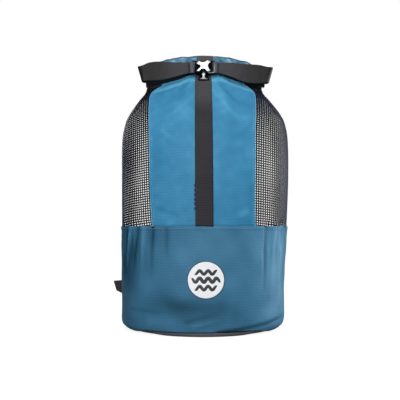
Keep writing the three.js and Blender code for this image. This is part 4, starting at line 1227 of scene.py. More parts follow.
def middle_strip(name, node, on_back):
    rise = np.linspace(BASE_HEIGHT - 2, mix(BASE_HEIGHT, NECK_HEIGHT, 0.99), 150)
    across = np.linspace(-0.5, 0.5, 17)
    across_grid, height = np.meshgrid(across, rise)
    turn = turn_at(strip_middle(height) + across_grid * STRIP_WIDTH, height, on_back)
    selvedge = 0.45 * smooth(np.abs(across_grid), 0.4, 0.44) * (1 - smooth(np.abs(across_grid), 0.47, 0.5))
    tucked = -1.2 * (1 - smooth(height, BASE_HEIGHT - 1, BASE_HEIGHT + 2))
    middle_turn = turn_at(strip_middle(height), height, on_back)
    relief = 0.5 * panel_relief(turn, height) + 0.5 * panel_relief(middle_turn, height)
    relief = np.maximum(relief, panel_relief(turn, height))
    lift = GAP + STRIP_THICKNESS + relief + tucked - selvedge * 0.3
    points = over_skin(turn, height, lift)
    if on_back:
        points = points[:, ::-1]
    made = sheet(name, points, body_webbing, thickness=STRIP_THICKNESS - 0.2)
    return on_bag(made, "webbing", node)


def floor_cloth():
    """The floor: tarpaulin that turns up to the base's lower edge, with a raised weld where they meet."""
    columns = 240
    around = np.arange(columns) * 2 * math.pi / columns
    rings = []
    for share in (0.0, 0.3, 0.6, 0.85, 0.96):
        ring = skin(around, 0 * around)
        middle = np.array([section_shift(), 0, 0])
        rings.append(middle + (ring - middle) * share)
    for height in np.linspace(0, FLOOR_RIM, 9):
        welt = 0.8 * math.sin(math.pi * height / FLOOR_RIM)
        behind = 2.2 * smooth(np.abs(np.degrees(around_front(around))), 25, 45)
        rings.append(over_skin(around, height + 0 * around, welt - behind))
    points = np.stack(rings)
    points[0] = mix(points[0], points[1], 0.02)
    points[..., 2] = np.maximum(points[..., 2], 0.0)
    made = sheet("floor_cloth", points, floor_tarpaulin, ring=True)
    return made


def section_shift():
    return HALF_WIDTH * float(read(SECTIONS, "shift", np.array(0.0)))


base_cloth()
upper_panel("front_panel_cloth", "front_panel", front_left, front_right)
upper_panel("back_panel_cloth", "back_panel", back_right, back_left)
side_mesh("right_mesh", "mesh_right", 1, front_right, back_right)
side_mesh(
    "left_mesh",
    "mesh_left",
    -1,
    lambda height: -front_left(height),
    lambda height: 2 * math.pi - back_left(height),
)
panel_edge("front_left_edge", front_left, 1)
panel_edge("front_right_edge", front_right, -1)
panel_edge("back_right_edge", back_right, 1)
panel_edge("back_left_edge", back_left, -1)
middle_strip("front_webbing", "front_strip", False)
middle_strip("back_webbing", "back_strip", True)
on_bag(floor_cloth(), "floor_cloth", "floor_panel")


def base_piping(name, height_at, lift, width, thickness, look):
    """A narrow bound edge that runs all round the base."""
    turns = np.arange(420) * 2 * math.pi / 420
    height = height_at(turns)
    route = over_skin(turns, height, base_relief(turns, height) + lift)
    made = swept(name, route, skin_normal(turns, height), width, thickness, look, across=4, closed=True)
    return on_bag(made, "base_cloth")


# The darker tape at the seam is painted shadow along the base's hem
base_piping("base_seam_shadow_piping", lambda turn: BASE_HEIGHT + 0.3 + 0 * turn, -0.3, 1.8, 1.1, seam_shadow_tape)
base_piping("base_foot_piping", lambda turn: base_foot(turn) + 0.5, 0.1, 2.0, 1.4, seam_binding)

# ---- The badge ---------------------------------------------------------------------------------------------


def badge_place(radius, angle, lift):
    """A point of the badge, from its middle, which lies on the base's cloth."""
    height = PATCH_RISE + radius * np.sin(angle)
    turn = turn_at(radius * np.cos(angle), height)
    return over_skin(turn, height, lift + base_relief(turn, height))


def badge():
    spokes = 96
    angle = np.arange(spokes) * 2 * math.pi / spokes
    profile = [(1.0, 0.1), (1.0, 0.9), (0.985, 1.3), (0.96, 1.5), (0.93, 1.35)]
    profile += [(share, 1.35) for share in np.linspace(0.86, 0.02, 13)]
    rings = [badge_place(PATCH_RADIUS * r + 0 * angle, angle, lift + 0 * angle) for r, lift in profile]
    made = sheet("badge_disc", np.stack(rings), badge_vinyl, ring=True)
    on_bag(made, "patch", "patch")
    edge = []
    for r, lift in ((1.0, 0.15), (1.028, 0.3), (1.03, 0.75), (1.01, 1.0), (0.99, 1.1)):
        edge.append(badge_place(PATCH_RADIUS * r + 0 * angle, angle, lift + 0 * angle))
    on_bag(sheet("badge_edge", np.stack(edge), badge_ink, ring=True), "patch")


# The badge's own design: three waves. Sizes are shares of the badge's radius.
WAVES = table(
    "rise reach height width", (0.42, 0.62, 0.1, 0.17), (0.0, 0.8, 0.11, 0.19), (-0.43, 0.62, 0.1, 0.17)
)
WAVE_LENGTH = 0.46


def badge_waves():
    made = []
    for rise, reach, height, width in zip(*(WAVES[c] for c in ("rise", "reach", "height", "width"))):
        run = np.linspace(-1, 1, 73)
        x = run * reach
        line = rise + height * np.sin(x / WAVE_LENGTH * 2 * math.pi)
        lean = np.arctan(np.gradient(line, x))
        taper = np.sqrt(np.clip(1 - np.abs(run) ** 6, 0, 1))
        rows = []
        for side in np.linspace(-0.5, 0.5, 7):
            x = run * reach - side * width * taper * np.sin(lean)
            z = line + side * width * taper * np.cos(lean)
            radius = np.hypot(x, z) * PATCH_RADIUS
            lift = 1.45 + 0.25 * (1 - (2 * side) ** 4) * taper
            rows.append(badge_place(radius, np.arctan2(z, x), lift))
        made.append(np.stack(rows))
    for k, points in enumerate(made):
        on_bag(sheet(f"badge_wave_{k + 1}", points, badge_ink), "patch")


badge()
badge_waves()

# ---- The rolled mouth --------------------------------------------------------------------------------------


ROLL_LEAN = 5  # the roll's highest place lies this far to the left of the bag's middle
ROLL_WEBBING_SHIFT = 2.5  # how much further to the right the webbing lies where it crosses the roll
PIPING_ANGLE = 103  # degrees from the roll's back, over its top


def roll_section(x):
    """The middle and half the height of the roll's section at x."""
    sink = mix(ROLL_SINK, ROLL_END_SINK, roll_line("bottom", x))
    bottom = NECK_HEIGHT + GAP + neck_lift(x) - sink
    rise = NECK_LIFT + ROLL_HEIGHT - ROLL_END_HEIGHT
    top = NECK_HEIGHT + GAP + ROLL_END_HEIGHT + rise * (1 - roll_line("top", x + ROLL_LEAN)) - sink
    return (top + bottom) / 2, (top - bottom) / 2


def winding(x, degrees, distance):
    """A point of the roll at x, at an angle from its back over its top, out from the cloth by a distance."""
    inward = ROLL_PITCH * degrees / 360 - distance
    depth = ROLL_DEPTH / 2 - inward
    height = 1 - inward / (ROLL_END_HEIGHT / 2)
    middle, half = roll_section(x)
    y = ROLL_SETBACK + depth * np.cos(np.radians(degrees))
    return stack(x, y, middle + height * np.sin(np.radians(degrees)) * half)


def roll_relief(x, degrees):
    """Small crumples in the rolled cloth, mostly across the roll."""
    points = stack(x, 0.25 * degrees, 0 * x)
    return 0.7 * drift(points, 24, 31) + 0.35 * drift(points, 10, 32)


def roll_painted_light(x, degrees):
    """Painted highlights and shade in a random mottle, standing in for the light on the roll's crumples."""
    points = stack(x, 0.25 * degrees, 0 * x)
    return 0.3 * drift(points, 22, 34) + 0.3 * drift(points, 9, 35)


def wound(
    name, node, start, end, rows, half_length, columns, look, slot, relief, base_lift, thickness, shift=0,
    tuck=0, wear_and_painted_light=None
):
    """A wound cloth from one angle to another. tuck is how much later it starts at the roll's two ends."""
    across, share = np.meshgrid(np.linspace(-1, 1, columns), np.linspace(0, 1, rows))
    x = shift + half_length * across
    degrees = mix(start + tuck * smooth(np.abs(across), 0.7, 1), end, share)
    points = winding(x, degrees, base_lift + relief(x, degrees))
    highlight_and_wear = None if wear_and_painted_light is None else wear_and_painted_light(x, degrees)[::-1]
    made = sheet(name, points[::-1], look, thickness=thickness, centre=True, wear_and_painted_light=highlight_and_wear)
    return on_bag(made, slot, node)


wound(
    "roll_cloth", "roll_wrap", WRAP_START, WRAP_END, 90, ROLL_LENGTH / 2, 150, rolled_nylon, "panel_cloth",
    roll_relief, 0.0, 1.6, tuck=60, wear_and_painted_light=roll_painted_light,
)
wound(
    "mouth_webbing", "mouth_band", WRAP_END + 2, BAND_TURNS_END, 80, ROLL_LENGTH / 2, 90, band_webbing,
    "band_cloth", lambda x, degrees: 0.2 * drift(stack(x, 0.4 * degrees, 0 * x), 40, 33), 0.0, 1.8,
)
wound(
    "roll_webbing", "roll_strip", WRAP_START + 15, WRAP_END, 80, STRIP_WIDTH / 2, 13, rolled_webbing_rubbed_and_highlit,
    "webbing", lambda x, degrees: 0 * x, GAP + STRIP_THICKNESS - 0.4, STRIP_THICKNESS - 0.3,
    STRIP_SHIFT + ROLL_WEBBING_SHIFT,
)


def roll_piping():
    """The dark bound edge of the mouth, which shows as a line along the roll's top."""
    x = np.linspace(-0.96, 0.96, 161) * ROLL_LENGTH / 2
    degrees = 0 * x + PIPING_ANGLE
    route = winding(x, degrees, roll_relief(x, degrees) + 0.3)
    outs = unit(winding(x, degrees, 5.0 + 0 * x) - winding(x, degrees, 0 * x))
    made = swept("roll_piping", route, outs, 2.4, 1.4, seam_binding, across=4)
    return on_bag(made, "band_cloth")


roll_piping()

# ---- The closing bands -------------------------------------------------------------------------------------


def band_route(side, sign):
    fold_x = ROLL_LENGTH / 2 + BAND_FOLD
    start_x = fold_x - FOLD_RADIUS
    bar_x = BUCKLE_SPAN / 2 - FRAME_BAR / 2
    loop_half = FRAME_BAR / 2 + GAP + LOOP_THICKNESS
    end_x = sign * BUCKLE_SHIFT + bar_x - loop_half + LOOP_LENGTH + GAP
    sewn_x = end_x + 2 * BAND_THICKNESS
    bends = np.linspace(0, 180, 25)
    x = np.concatenate(
        [
            [ROLL_LENGTH / 2 - 8],
            start_x + FOLD_RADIUS * np.sin(np.radians(bends)),
            np.linspace(start_x, sewn_x, 61)[1:],
            [end_x],
        ]
    )
    y = BAND_FRONT + FOLD_RADIUS * np.concatenate(
        [[2.0], 1 + np.cos(np.radians(bends)), np.zeros(61)]
    )
    bend = np.concatenate([[0.0], bends, np.full(61, 180.0)])
    at = np.where(bend < 180, 1.0, np.clip((x - sewn_x) / (start_x - sewn_x), 0, 1))
    z = BUCKLE_RISE - BAND_HEIGHT * read(BAND_LINE, side, at)
    route = stack(sign * x, y, z)
    outs = stack(sign * np.sin(np.radians(bend)), np.cos(np.radians(bend)), 0 * bend)
    return route, outs, BAND_HEIGHT * read(BAND_LINE, "height", at)


def closure_band(side, sign):
    route, outs, widths = band_route(side, sign)
    made = swept(
        f"{side}_band", route, outs, widths, BAND_THICKNESS, closing_webbing, across=14
    )
    middle = BUCKLE_RISE - BAND_HEIGHT * BAND_LINE[side][-1]
    mesh = made.data
    points = np.zeros(len(mesh.vertices) * 3)
    mesh.vertices.foreach_get("co", points)
    points = points.reshape(-1, 3) / MM
    reach = smooth(np.abs(points[:, 0]), ROLL_LENGTH / 2 + 1, ROLL_LENGTH / 2 + BAND_FOLD)
    points[:, 0] += sign * FOLD_SLANT * (points[:, 2] - middle) * reach
    free = 1 - smooth(np.abs(points[:, 0]), 100, 118)
    points[:, 1] -= (0.7 * drift(points * [1, 0, 0.4], 60, 41 + sign) + 0.3 * drift(points, 20, 43)) * free
    mesh.vertices.foreach_set("co", (points * MM).ravel())
    mesh.update()
    return on_bag(made, "band_cloth", f"closure_band_{side}")


for side, sign in (("left", -1), ("right", 1)):
    closure_band(side, sign)

# ---- The buckle --------------------------------------------------------------------------------------------


def rectangle(low, high, bottom, top, corner):
    return curve_points(
        (low + corner, bottom),
        (high - corner, bottom),
        (high, bottom, high, bottom + corner),
        (high, top - corner),
        (high, top, high - corner, top),
        (low + corner, top),
        (low, top, low, top - corner),
        (low, bottom + corner),
        (low, bottom, low + corner, bottom),
        count=5,
    )[:-1]


def plate(name, outlines, thickness, back, bevel, look):
    """A flat moulding drawn in X and Z, whose back lies at y = back. Outlines after the first are holes."""
    drawing = bpy.data.curves.new(name, "CURVE")
    drawing.dimensions = "2D"
    drawing.fill_mode = "BOTH"
    drawing.extrude = (thickness / 2 - bevel) * MM
    drawing.bevel_depth = bevel * MM
    drawing.bevel_resolution = 2
    drawing.offset = -bevel * MM
    for outline in outlines:
        line = drawing.splines.new("POLY")
        line.points.add(len(outline) - 1)
        for point, (x, z) in zip(line.points, outline):
            point.co = (x * MM, z * MM, 0, 1)
        line.use_cyclic_u = True
    drawn = bpy.data.objects.new(name, drawing)
    bpy.context.scene.collection.objects.link(drawn)
    bpy.context.view_layer.update()
    mesh = bpy.data.meshes.new_from_object(drawn.evaluated_get(bpy.context.evaluated_depsgraph_get()))
    bpy.data.objects.remove(drawn)
    mesh.transform(Matrix.Rotation(math.pi / 2, 4, "X"))
    mesh.transform(Matrix.Translation((0, (back - thickness / 2) * MM, 0)))
    mesh.materials.clear()
    mesh.materials.append(look)
    made = bpy.data.objects.new(name, mesh)
    bpy.context.scene.collection.objects.link(made)
    mesh.shade_smooth()
    made.modifiers.new("weighted normals", "WEIGHTED_NORMAL")
    return made


def mirrored(outline, sign):
    return [(sign * x, z) for x, z in outline]


def moved(outline, x, z):
    return [(a + x, b + z) for a, b in outline]


def buckle_frame(side, sign):
    outer = BUCKLE_SPAN / 2
    half = FRAME_HEIGHT / 2
    body = rectangle(GAP / 2, outer, -half, half, 2)
    slot = rectangle(BUCKLE_JOIN, outer - FRAME_BAR, FRAME_WALL - half, half - FRAME_WALL, 1)
    outlines = [moved(mirrored(o, sign), BUCKLE_SHIFT, BUCKLE_RISE) for o in (body, slot)]
    made = plate(f"{side}_frame", outlines, FRAME_THICKNESS, BUCKLE_BACK, 0.9, moulded_acetal)
    on_bag(made, "black_plastic", f"buckle_frame_{side}")
    web = rectangle(BUCKLE_JOIN - 1, outer - FRAME_BAR - 3.2, 1 + FRAME_WALL - half, half - FRAME_WALL - 1, 1)
    web = moved(mirrored(web, sign), BUCKLE_SHIFT, BUCKLE_RISE)
    on_bag(plate(f"{side}_frame_web", [web], 1.6, BUCKLE_BACK - 0.8, 0.3, moulded_acetal), "black_plastic")


RIB_ACROSS = 13
RIB_UP = 15


def frame_rib():
    """A raised grey rib that turns round the lower corner of the right frame. Its pale grey is a painted
    highlight of the frame's lit edge.
    """
    outer = BUCKLE_SPAN / 2 - FRAME_BAR / 2 + BUCKLE_SHIFT
    low = BUCKLE_RISE - FRAME_HEIGHT / 2 + FRAME_WALL / 2 + 1.5
    corner = 3.0
    ends = [(outer - RIB_ACROSS, low), (outer, low + RIB_UP)]
    bend = [(outer - corner, low), (outer, low, outer, low + corner)]
    line = np.array(curve_points(ends[0], *bend, ends[1], count=6))
    route = stack(line[:, 0], BUCKLE_BACK - FRAME_THICKNESS - 2.3, line[:, 1])
    outs = stack(0 * line[:, 0], -1.0 + 0 * line[:, 0], 0 * line[:, 0])
    made = swept("right_frame_rib_painted_highlight", route, outs, 2.2, 1.3, painted_highlight_acetal, across=4)
    return on_bag(made, "black_plastic")


def webbing_loop(side, sign):
    """The band's end, wrapped round the frame's bar and sewn back on itself."""
    bar_x = BUCKLE_SPAN / 2 - FRAME_BAR / 2
    mid = LOOP_THICKNESS / 2
    half_x = FRAME_BAR / 2 + GAP + mid
    half_y = FRAME_THICKNESS / 2 + GAP + mid
    end = LOOP_LENGTH - half_x - 2 * mid
    corner = 2.0
    outline = rectangle(-half_x, end, -half_y, half_y, corner)
    route = np.array([(bar_x + x, BAND_FRONT + y, 0) for x, y in outline])
    middle = np.array([bar_x + (end - half_x) / 2, BAND_FRONT, 0])
    outs = unit((route - middle) * [0.6, 1.4, 0])
    route[:, 0] = sign * route[:, 0] + BUCKLE_SHIFT
    outs[:, 0] *= sign
    route[:, 2] = BUCKLE_RISE
    if sign < 0:
        route, outs = route[::-1], outs[::-1]
    height = FRAME_HEIGHT - 2 * FRAME_WALL - 2 * GAP
    made = swept(
        f"{side}_loop", route, outs, height, LOOP_THICKNESS, loop_webbing_painted_highlight, across=8, closed=True
    )
    return on_bag(made, "webbing", f"webbing_loop_{side}")


# The cross's four arms: each tip's two corners, then the curve's control point to the next tip, anticlockwise
# from the lower left. Sizes are in millimetres from the cross's middle.
CROSS_ARMS = table(
    "x z end_x end_z bend_x bend_z",
    (-14.0, -9.0, -8.3, -10.6, -0.8, -1.0),
    (6.4, -11.0, 13.6, -8.6, 4.0, 1.2),
    (14.0, 8.6, 6.2, 11.0, -1.8, 4.4),
    (-8.6, 10.2, -14.0, 4.4, 1.8, 2.0),
)


def cross_outline():
    arms = list(zip(*(CROSS_ARMS[c] for c in ("x", "z", "end_x", "end_z", "bend_x", "bend_z"))))
    corners = [arms[0][:2]]
    for arm, following in zip(arms, arms[1:] + arms[:1]):
        x, z, end_x, end_z, bend_x, bend_z = arm
        out_x, out_z = (x + end_x) / 2 * 1.12, (z + end_z) / 2 * 1.12
        corners.append((out_x, out_z, end_x, end_z))
        corners.append((bend_x, bend_z, following[0], following[1]))
    return curve_points(*corners, count=10)[:-1]


def buckle_cross():
    front_of_frame = BUCKLE_BACK - FRAME_THICKNESS - GAP
    outline = moved(cross_outline(), BUCKLE_SHIFT, BUCKLE_RISE + CROSS_LIFT)
    profile = [(0.97, 0), (1.0, 0.4), (1.0, 2.2), (0.985, 2.7), (0.95, 3.0)]
    profile += [(share, 3.1) for share in (0.8, 0.5, 0.2)]
    made = domed("alloy_cross", outline, profile, front_of_frame, plated_zinc)
    return on_bag(made, "buckle_alloy", "buckle_cross")


def latch_outline():
    w = LATCH_WIDTH / 2
    h = LATCH_HEIGHT / 2
    return curve_points(
        (-w, -h + 2),
        (-w, -h, -w + 2, -h),
        (w - 2, -h),
        (w, -h, w, -h + 2),
        (0.6 * w, -0.25 * h, 0.6 * w, 0.3 * h),
        (0.6 * w, h, 0, h),
        (-0.6 * w, h, -0.6 * w, 0.3 * h),
        (-0.6 * w, -0.25 * h, -w, -h + 2),
        count=10,
    )[:-1]


LATCH_BACK = BUCKLE_BACK - FRAME_THICKNESS - 2 * GAP - CROSS_THICKNESS
LATCH_RISE = BUCKLE_RISE - LATCH_DROP
LATCH_FLARE = 2.6  # how far forward the lower edge of its skirt reaches


def latch():
    """A moulded bell. Its lower edge flares forward, and its top is an arch over a rounded shoulder."""
    h = LATCH_HEIGHT / 2
    outline = moved(latch_outline(), BUCKLE_SHIFT, LATCH_RISE)
    profile = [(0.97, 0), (1.0, 0.5), (1.0, 2.6), (0.97, 3.4), (0.9, 4.0), (0.76, 4.4)]
    profile += [(share, 4.5) for share in (0.6, 0.4, 0.2)]
    made = domed("latch_bell", outline, profile, LATCH_BACK, moulded_acetal)
    for vertex in made.data.vertices:
        forward = smooth(LATCH_RISE - vertex.co.z / MM, 1.5, h - 1.5)
        proud = smooth(LATCH_BACK - vertex.co.y / MM, 1.0, 4.0)
        vertex.co.y -= LATCH_FLARE * forward * proud * MM
    on_bag(made, "black_plastic", "latch")
    # A pale patch in the shape of a low gable on the skirt's front is a painted reflection of its gloss
    gable = [(-8.5, 2.2 - h), (9.5, 1.9 - h), (3, 4.5 - h), (0, 0.5 - h / 2), (-3.5, 4.8 - h)]
    gable = moved(gable, BUCKLE_SHIFT, LATCH_RISE)
    profile = [(0.98, 4.2), (1.0, 5.0), (0.9, 5.4), (0.5, 5.5)]
    lip = domed("latch_skirt_painted_reflection", gable, profile, LATCH_BACK, painted_highlight_acetal)
    for vertex in lip.data.vertices:
        vertex.co.y -= LATCH_FLARE * smooth(LATCH_RISE - vertex.co.z / MM, 1.5, h - 1.5) * MM
    on_bag(lip, "black_plastic")
    # The arch is a half ring round the top, and the paler satin shoulder below it is a painted highlight of
    # the arch's lower edge
    angles = np.radians(np.linspace(-8, 188, 33))
    ring_x = BUCKLE_SHIFT - 1 + 7.2 * np.cos(angles)
    ring_z = LATCH_RISE + 2.6 + 0.36 * LATCH_HEIGHT * np.sin(angles)
    front = LATCH_BACK - 4.9
    route = stack(ring_x, front, ring_z)
    outs = stack(0 * angles, -1 + 0 * angles, 0 * angles)
    on_bag(swept("latch_arch", route, outs, 2.6, 2.2, moulded_acetal, across=6), "black_plastic")
    angles = np.radians(np.linspace(20, 160, 21))
    route = stack(
        BUCKLE_SHIFT + 4.6 * np.cos(angles), front - 0.2, LATCH_RISE + 3.2 + 3.4 * np.sin(angles)
    )
    outs = stack(0 * angles, -0.55 + 0 * angles, 0.83 + 0 * angles)
    widths = 2.9 * np.sin(np.linspace(0.25, math.pi - 0.25, 21))
    on_bag(swept("latch_shoulder_painted_highlight", route, outs, widths, 1.0, satin_acetal, across=5), "black_plastic")


def latch_rivet():
    r = 0.14 * LATCH_WIDTH
    h = LATCH_HEIGHT / 2
    circle = [
        (r * math.cos(a), r * math.sin(a)) for a in np.radians(np.linspace(-54, 234, 25))
    ]
    outline = curve_points((-1.5 * r, -0.75 * h), (1.5 * r, -0.75 * h), (0.5 * r, -0.4 * h, *circle[0]))
    outline += circle[1:]
    outline += curve_points(circle[-1], (-0.5 * r, -0.4 * h, -1.5 * r, -0.75 * h))[1:-1]
    outline = moved(outline, BUCKLE_SHIFT, LATCH_RISE)
    profile = [(0.98, -2.5), (1.0, 1.3), (0.95, 1.7), (0.8, 1.95), (0.4, 2.0)]
    made = domed("latch_rivet_head", outline, profile, LATCH_BACK - LATCH_THICKNESS - GAP, worn_zinc)
    return on_bag(made, "buckle_alloy", "latch_rivet")


for side, sign in (("left", -1), ("right", 1)):
    buckle_frame(side, sign)
    webbing_loop(side, sign)
frame_rib()
buckle_cross()
latch()
latch_rivet()

# ---- The shoulder straps -----------------------------------------------------------------------------------


def pad_line(sign, count=60):
    share = np.linspace(0, 1, count)
    at = mix(PAD_ROUTE["at"][-1], PAD_ROUTE["at"][0], share)
    height = at * NECK_HEIGHT
    turn = turn_at(sign * BACK_PANEL_HALF * read(PAD_ROUTE, "reach", at), height, True)
    off = 2 * GAP + PAD_THICKNESS / 2 + np.maximum(0, PAD_STANDOFF * read(PAD_ROUTE, "off", at))
    widths = mix(PAD_WIDTH, PAD_END_WIDTH, smooth(share, 0.55, 1))
    return over_skin(turn, height, off), skin_normal(turn, height), widths


def tab_frame(side):
    sewn, points = ANCHORS[side]
    root = over_skin(np.array(math.radians(sewn)), np.array(float(TAB_RISE)), GAP)
    way = np.array([math.sin(math.radians(points)), -math.cos(math.radians(points)), 0])
    return root, way, np.array([-way[1], way[0], 0])


def web_line(side, sign, pad):
    """The webbing's route from the pad's lower end round to the anchor tab."""
    coarse = pad[0][:: (len(pad[0]) - 1) // 12]
    last, before = pad[0][-1], coarse[-2]
    forward = unit(last - before)
    route = [last + forward * 2 * GAP, last + forward * WEB_LEVEL]
    outs = [pad[1][-1], pad[1][-1]]
    end_at, end_reach, end_off = (PAD_ROUTE[c][0] for c in ("at", "reach", "off"))
    top_height = end_at * NECK_HEIGHT - WEB_LEVEL
    start = turn_at(sign * BACK_PANEL_HALF * end_reach, np.array(top_height), True)
    start = float(start) if sign > 0 else float(start) - 2 * math.pi
    sewn = math.radians(ANCHORS[side][0])
    rise = np.array(float(TAB_RISE))
    normal = skin_normal(np.array(sewn), rise)
    way = tab_frame(side)[1]
    slant = WEB_OFF * np.cross(way, normal)[2] / way.dot(normal)
    clear = TAB_THICKNESS / 2 + 3.2 * GAP
    sewn = float(further(np.array(sewn), rise, sign * clear - slant))
    end = float(further(np.array(sewn), rise, sign * 3 * WEB_THICKNESS))
    for degrees in np.linspace(9, 90, 28):
        turn = np.array(mix(start, end, 1 - math.cos(math.radians(degrees))))
        height = np.array(mix(top_height, TAB_RISE, math.sin(math.radians(degrees))))
        off = mix(GAP + PAD_THICKNESS / 2 + PAD_STANDOFF * end_off, WEB_OFF, degrees / 90)
        route.append(over_skin(turn, height, off))
        outs.append(skin_normal(turn, height))
    route.append(over_skin(np.array(sewn), rise, WEB_OFF))
    outs.append(skin_normal(np.array(sewn), rise))
    return np.array(route), np.array(outs)


COVER_VOXEL = 4
COVER_PRESSURE = 4
COVER_FRAMES = 20
COVER_SWELL = 1.6  # no point of a cover moves further than this


def puffed(made):
    """Blows a pad's cover up by cloth simulation, so that it swells and wrinkles as a filled cover does."""
    scene = bpy.context.scene
    remesh = made.modifiers.new("even faces", "REMESH")
    remesh.mode = "VOXEL"
    remesh.voxel_size = COVER_VOXEL * MM
    graph = bpy.context.evaluated_depsgraph_get()
    made.data = bpy.data.meshes.new_from_object(made.evaluated_get(graph))
    made.modifiers.clear()
    count = len(made.data.vertices)
    before = np.zeros(count * 3)
    made.data.vertices.foreach_get("co", before)
    cloth = made.modifiers.new("cover", "CLOTH")
    cloth.settings.use_pressure = True
    cloth.settings.uniform_pressure_force = COVER_PRESSURE
    cloth.settings.effector_weights.gravity = 0
    cloth.settings.tension_stiffness = 12
    cloth.settings.compression_stiffness = 12
    cloth.settings.bending_stiffness = 0.3
    for number in range(1, COVER_FRAMES + 1):
        scene.frame_set(number)
    graph = bpy.context.evaluated_depsgraph_get()
    blown = bpy.data.meshes.new_from_object(made.evaluated_get(graph))
    made.modifiers.clear()
    after = np.zeros(count * 3)
    blown.vertices.foreach_get("co", after)
    moved_by = (after - before).reshape(-1, 3)
    far = np.linalg.norm(moved_by, axis=1, keepdims=True) / MM
    moved_by *= np.minimum(1, COVER_SWELL / np.maximum(far, 1e-6))
    made.data.vertices.foreach_set("co", before + moved_by.ravel())
    scene.frame_set(1)
    made.data.update()
    made.data.shade_smooth()
    made.modifiers.new("smooth cover", "SUBSURF").levels = 1
    return made


def shoulder_pad(side, sign):
    points, outs, widths = pad_line(sign)
    taper = np.minimum(1, np.sin(np.linspace(0.12, math.pi - 0.12, len(points))) * 3)
    cover = widths * mix(0.75, 0.96, taper)
    thickness = PAD_THICKNESS * 0.62 * mix(0.5, 1, taper)
    made = swept(f"{side}_pad", points, outs, cover, thickness, air_mesh, across=14)
    puffed(made)
    # A bound edge all round the pad, and a row of stitches inside it
    half = cover / 2 - 1.6
    along = unit(np.gradient(points, axis=0))
    sideways = unit(np.cross(along, outs))
    rim = np.concatenate([points + sideways * half[:, None], (points - sideways * half[:, None])[::-1]])
    rim_outs = np.concatenate([outs, outs[::-1]])
    binding = swept(f"{side}_pad_binding", rim, rim_outs, 6.5, 4.6, pad_binding, across=4, closed=True)
    on_bag(binding, "webbing")
    inner = [(points + sideways * (s * half - s * 6)[:, None])[3:-3] for s in (-1, 1)]
    lift = outs[3:-3] * (PAD_THICKNESS * 0.5 - 0.3)
    rows = [([line + lift], [outs[3:-3]], 3.2, 4.6, 0.7) for line in inner]
    stitches(f"{side}_pad_stitches", rows, dark_thread, "webbing")
    return made, (points, outs, widths)


def strap_web(side, sign, pad):
    route, outs = web_line(side, sign, pad)
    made = swept(f"{side}_strap", route, outs, WEB_WIDTH, WEB_THICKNESS, strap_webbing, across=8)
    return on_bag(made, "webbing", f"strap_web_{side}")


def anchor_tab(side):
    """A trapezoid of folded webbing that stands out from the base's wall."""
    root, way, face = tab_frame(side)
    outline = [
        (TAB_CLEAR, TAB_ROOT / 2),
        (TAB_LENGTH, TAB_ROOT / 2 - 3),
        (TAB_LENGTH - 6, TAB_ROOT / 2 - 3 - TAB_TIP),
        (TAB_CLEAR, -TAB_ROOT / 2),
    ]
    vertices = [
        root + way * reach + face * s * TAB_THICKNESS / 2 + np.array([0, 0, up])
        for s in (-1, 1)
        for reach, up in outline
    ]
    faces = [(3, 2, 1, 0), (4, 5, 6, 7)] + [(k, (k + 1) % 4, 4 + (k + 1) % 4, 4 + k) for k in range(4)]
    places = [(TAB_LENGTH * 0.3 * k, TAB_ROOT * 0.2 * (k % 3)) for _ in faces for k in range(4)]
    made = finish_mesh(f"{side}_tab", vertices, faces, strap_webbing, places, flat=True)
    soften(made, 1.2, 3)
    return on_bag(made, "webbing", f"anchor_tab_{side}")


for side, sign in (("left", -1), ("right", 1)):
    pad, line = shoulder_pad(side, sign)
    on_bag(pad, "pad_cloth", f"shoulder_pad_{side}")
    strap_web(side, sign, line)
    anchor_tab(side)
    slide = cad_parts[f"strap_slide_{side}"]
    slide.data.materials.clear()
    slide.data.materials.append(satin_acetal)

# ---- Stitching ---------------------------------------------------------------------------------------------


def line_on_body(turns, heights, lift, relief):
    """A line on the cloth and its outward directions."""
    distance = lift + relief(turns, heights)
    return over_skin(turns, heights, distance), skin_normal(turns, heights)


ring_turns = np.linspace(0, 2 * math.pi, 400)
seam_row = line_on_body(ring_turns, np.full(400, BASE_HEIGHT - 4.0), 0.95, base_relief)
stitches(
    "base_seam_stitches",
    [([seam_row[0]], [seam_row[1]], 3.4, 4.6, 0.75)],
    blue_thread,
    "base_cloth",
)

edge_rows = []
rise = np.linspace(BASE_HEIGHT + 3, NECK_HEIGHT * 0.965, 200)
for edge, inward in ((front_left, 1), (front_right, -1), (back_right, 1), (back_left, -1)):
    line = line_on_body(further(edge(rise), rise, inward * 4.5), rise, 0.75, panel_relief)
    edge_rows.append(([line[0]], [line[1]], 3.0, 4.2, 0.6))
stitches("panel_edge_stitches", edge_rows, blue_thread, "panel_cloth")

strip_rows = []
for on_back in (False, True):
    for side in (-1, 1):
        x = strip_middle(rise) + side * (STRIP_WIDTH / 2 - 3)
        line = line_on_body(turn_at(x, rise, on_back), rise, GAP + STRIP_THICKNESS + 0.05, panel_relief)
        strip_rows.append(([line[0]], [line[1]], 3.0, 4.2, 0.6))
stitches("webbing_stitches", strip_rows, dark_thread, "webbing")

# Near the base a few dark blue stitches have worked loose along the webbing's left edge
loose = np.linspace(BASE_HEIGHT + 27, BASE_HEIGHT + 74, 40)
loose_turns = turn_at(strip_middle(loose) - STRIP_WIDTH / 2 - 0.8, loose)
loose_row = line_on_body(loose_turns, loose, 1.2, panel_relief)
stitches(
    "loose_stitches", [([loose_row[0]], [loose_row[1]], 5.5, 8.2, 2.4, 0.35)], navy_thread, "webbing"
)


# ---- Stage, light and camera -------------------------------------------------------------------------------


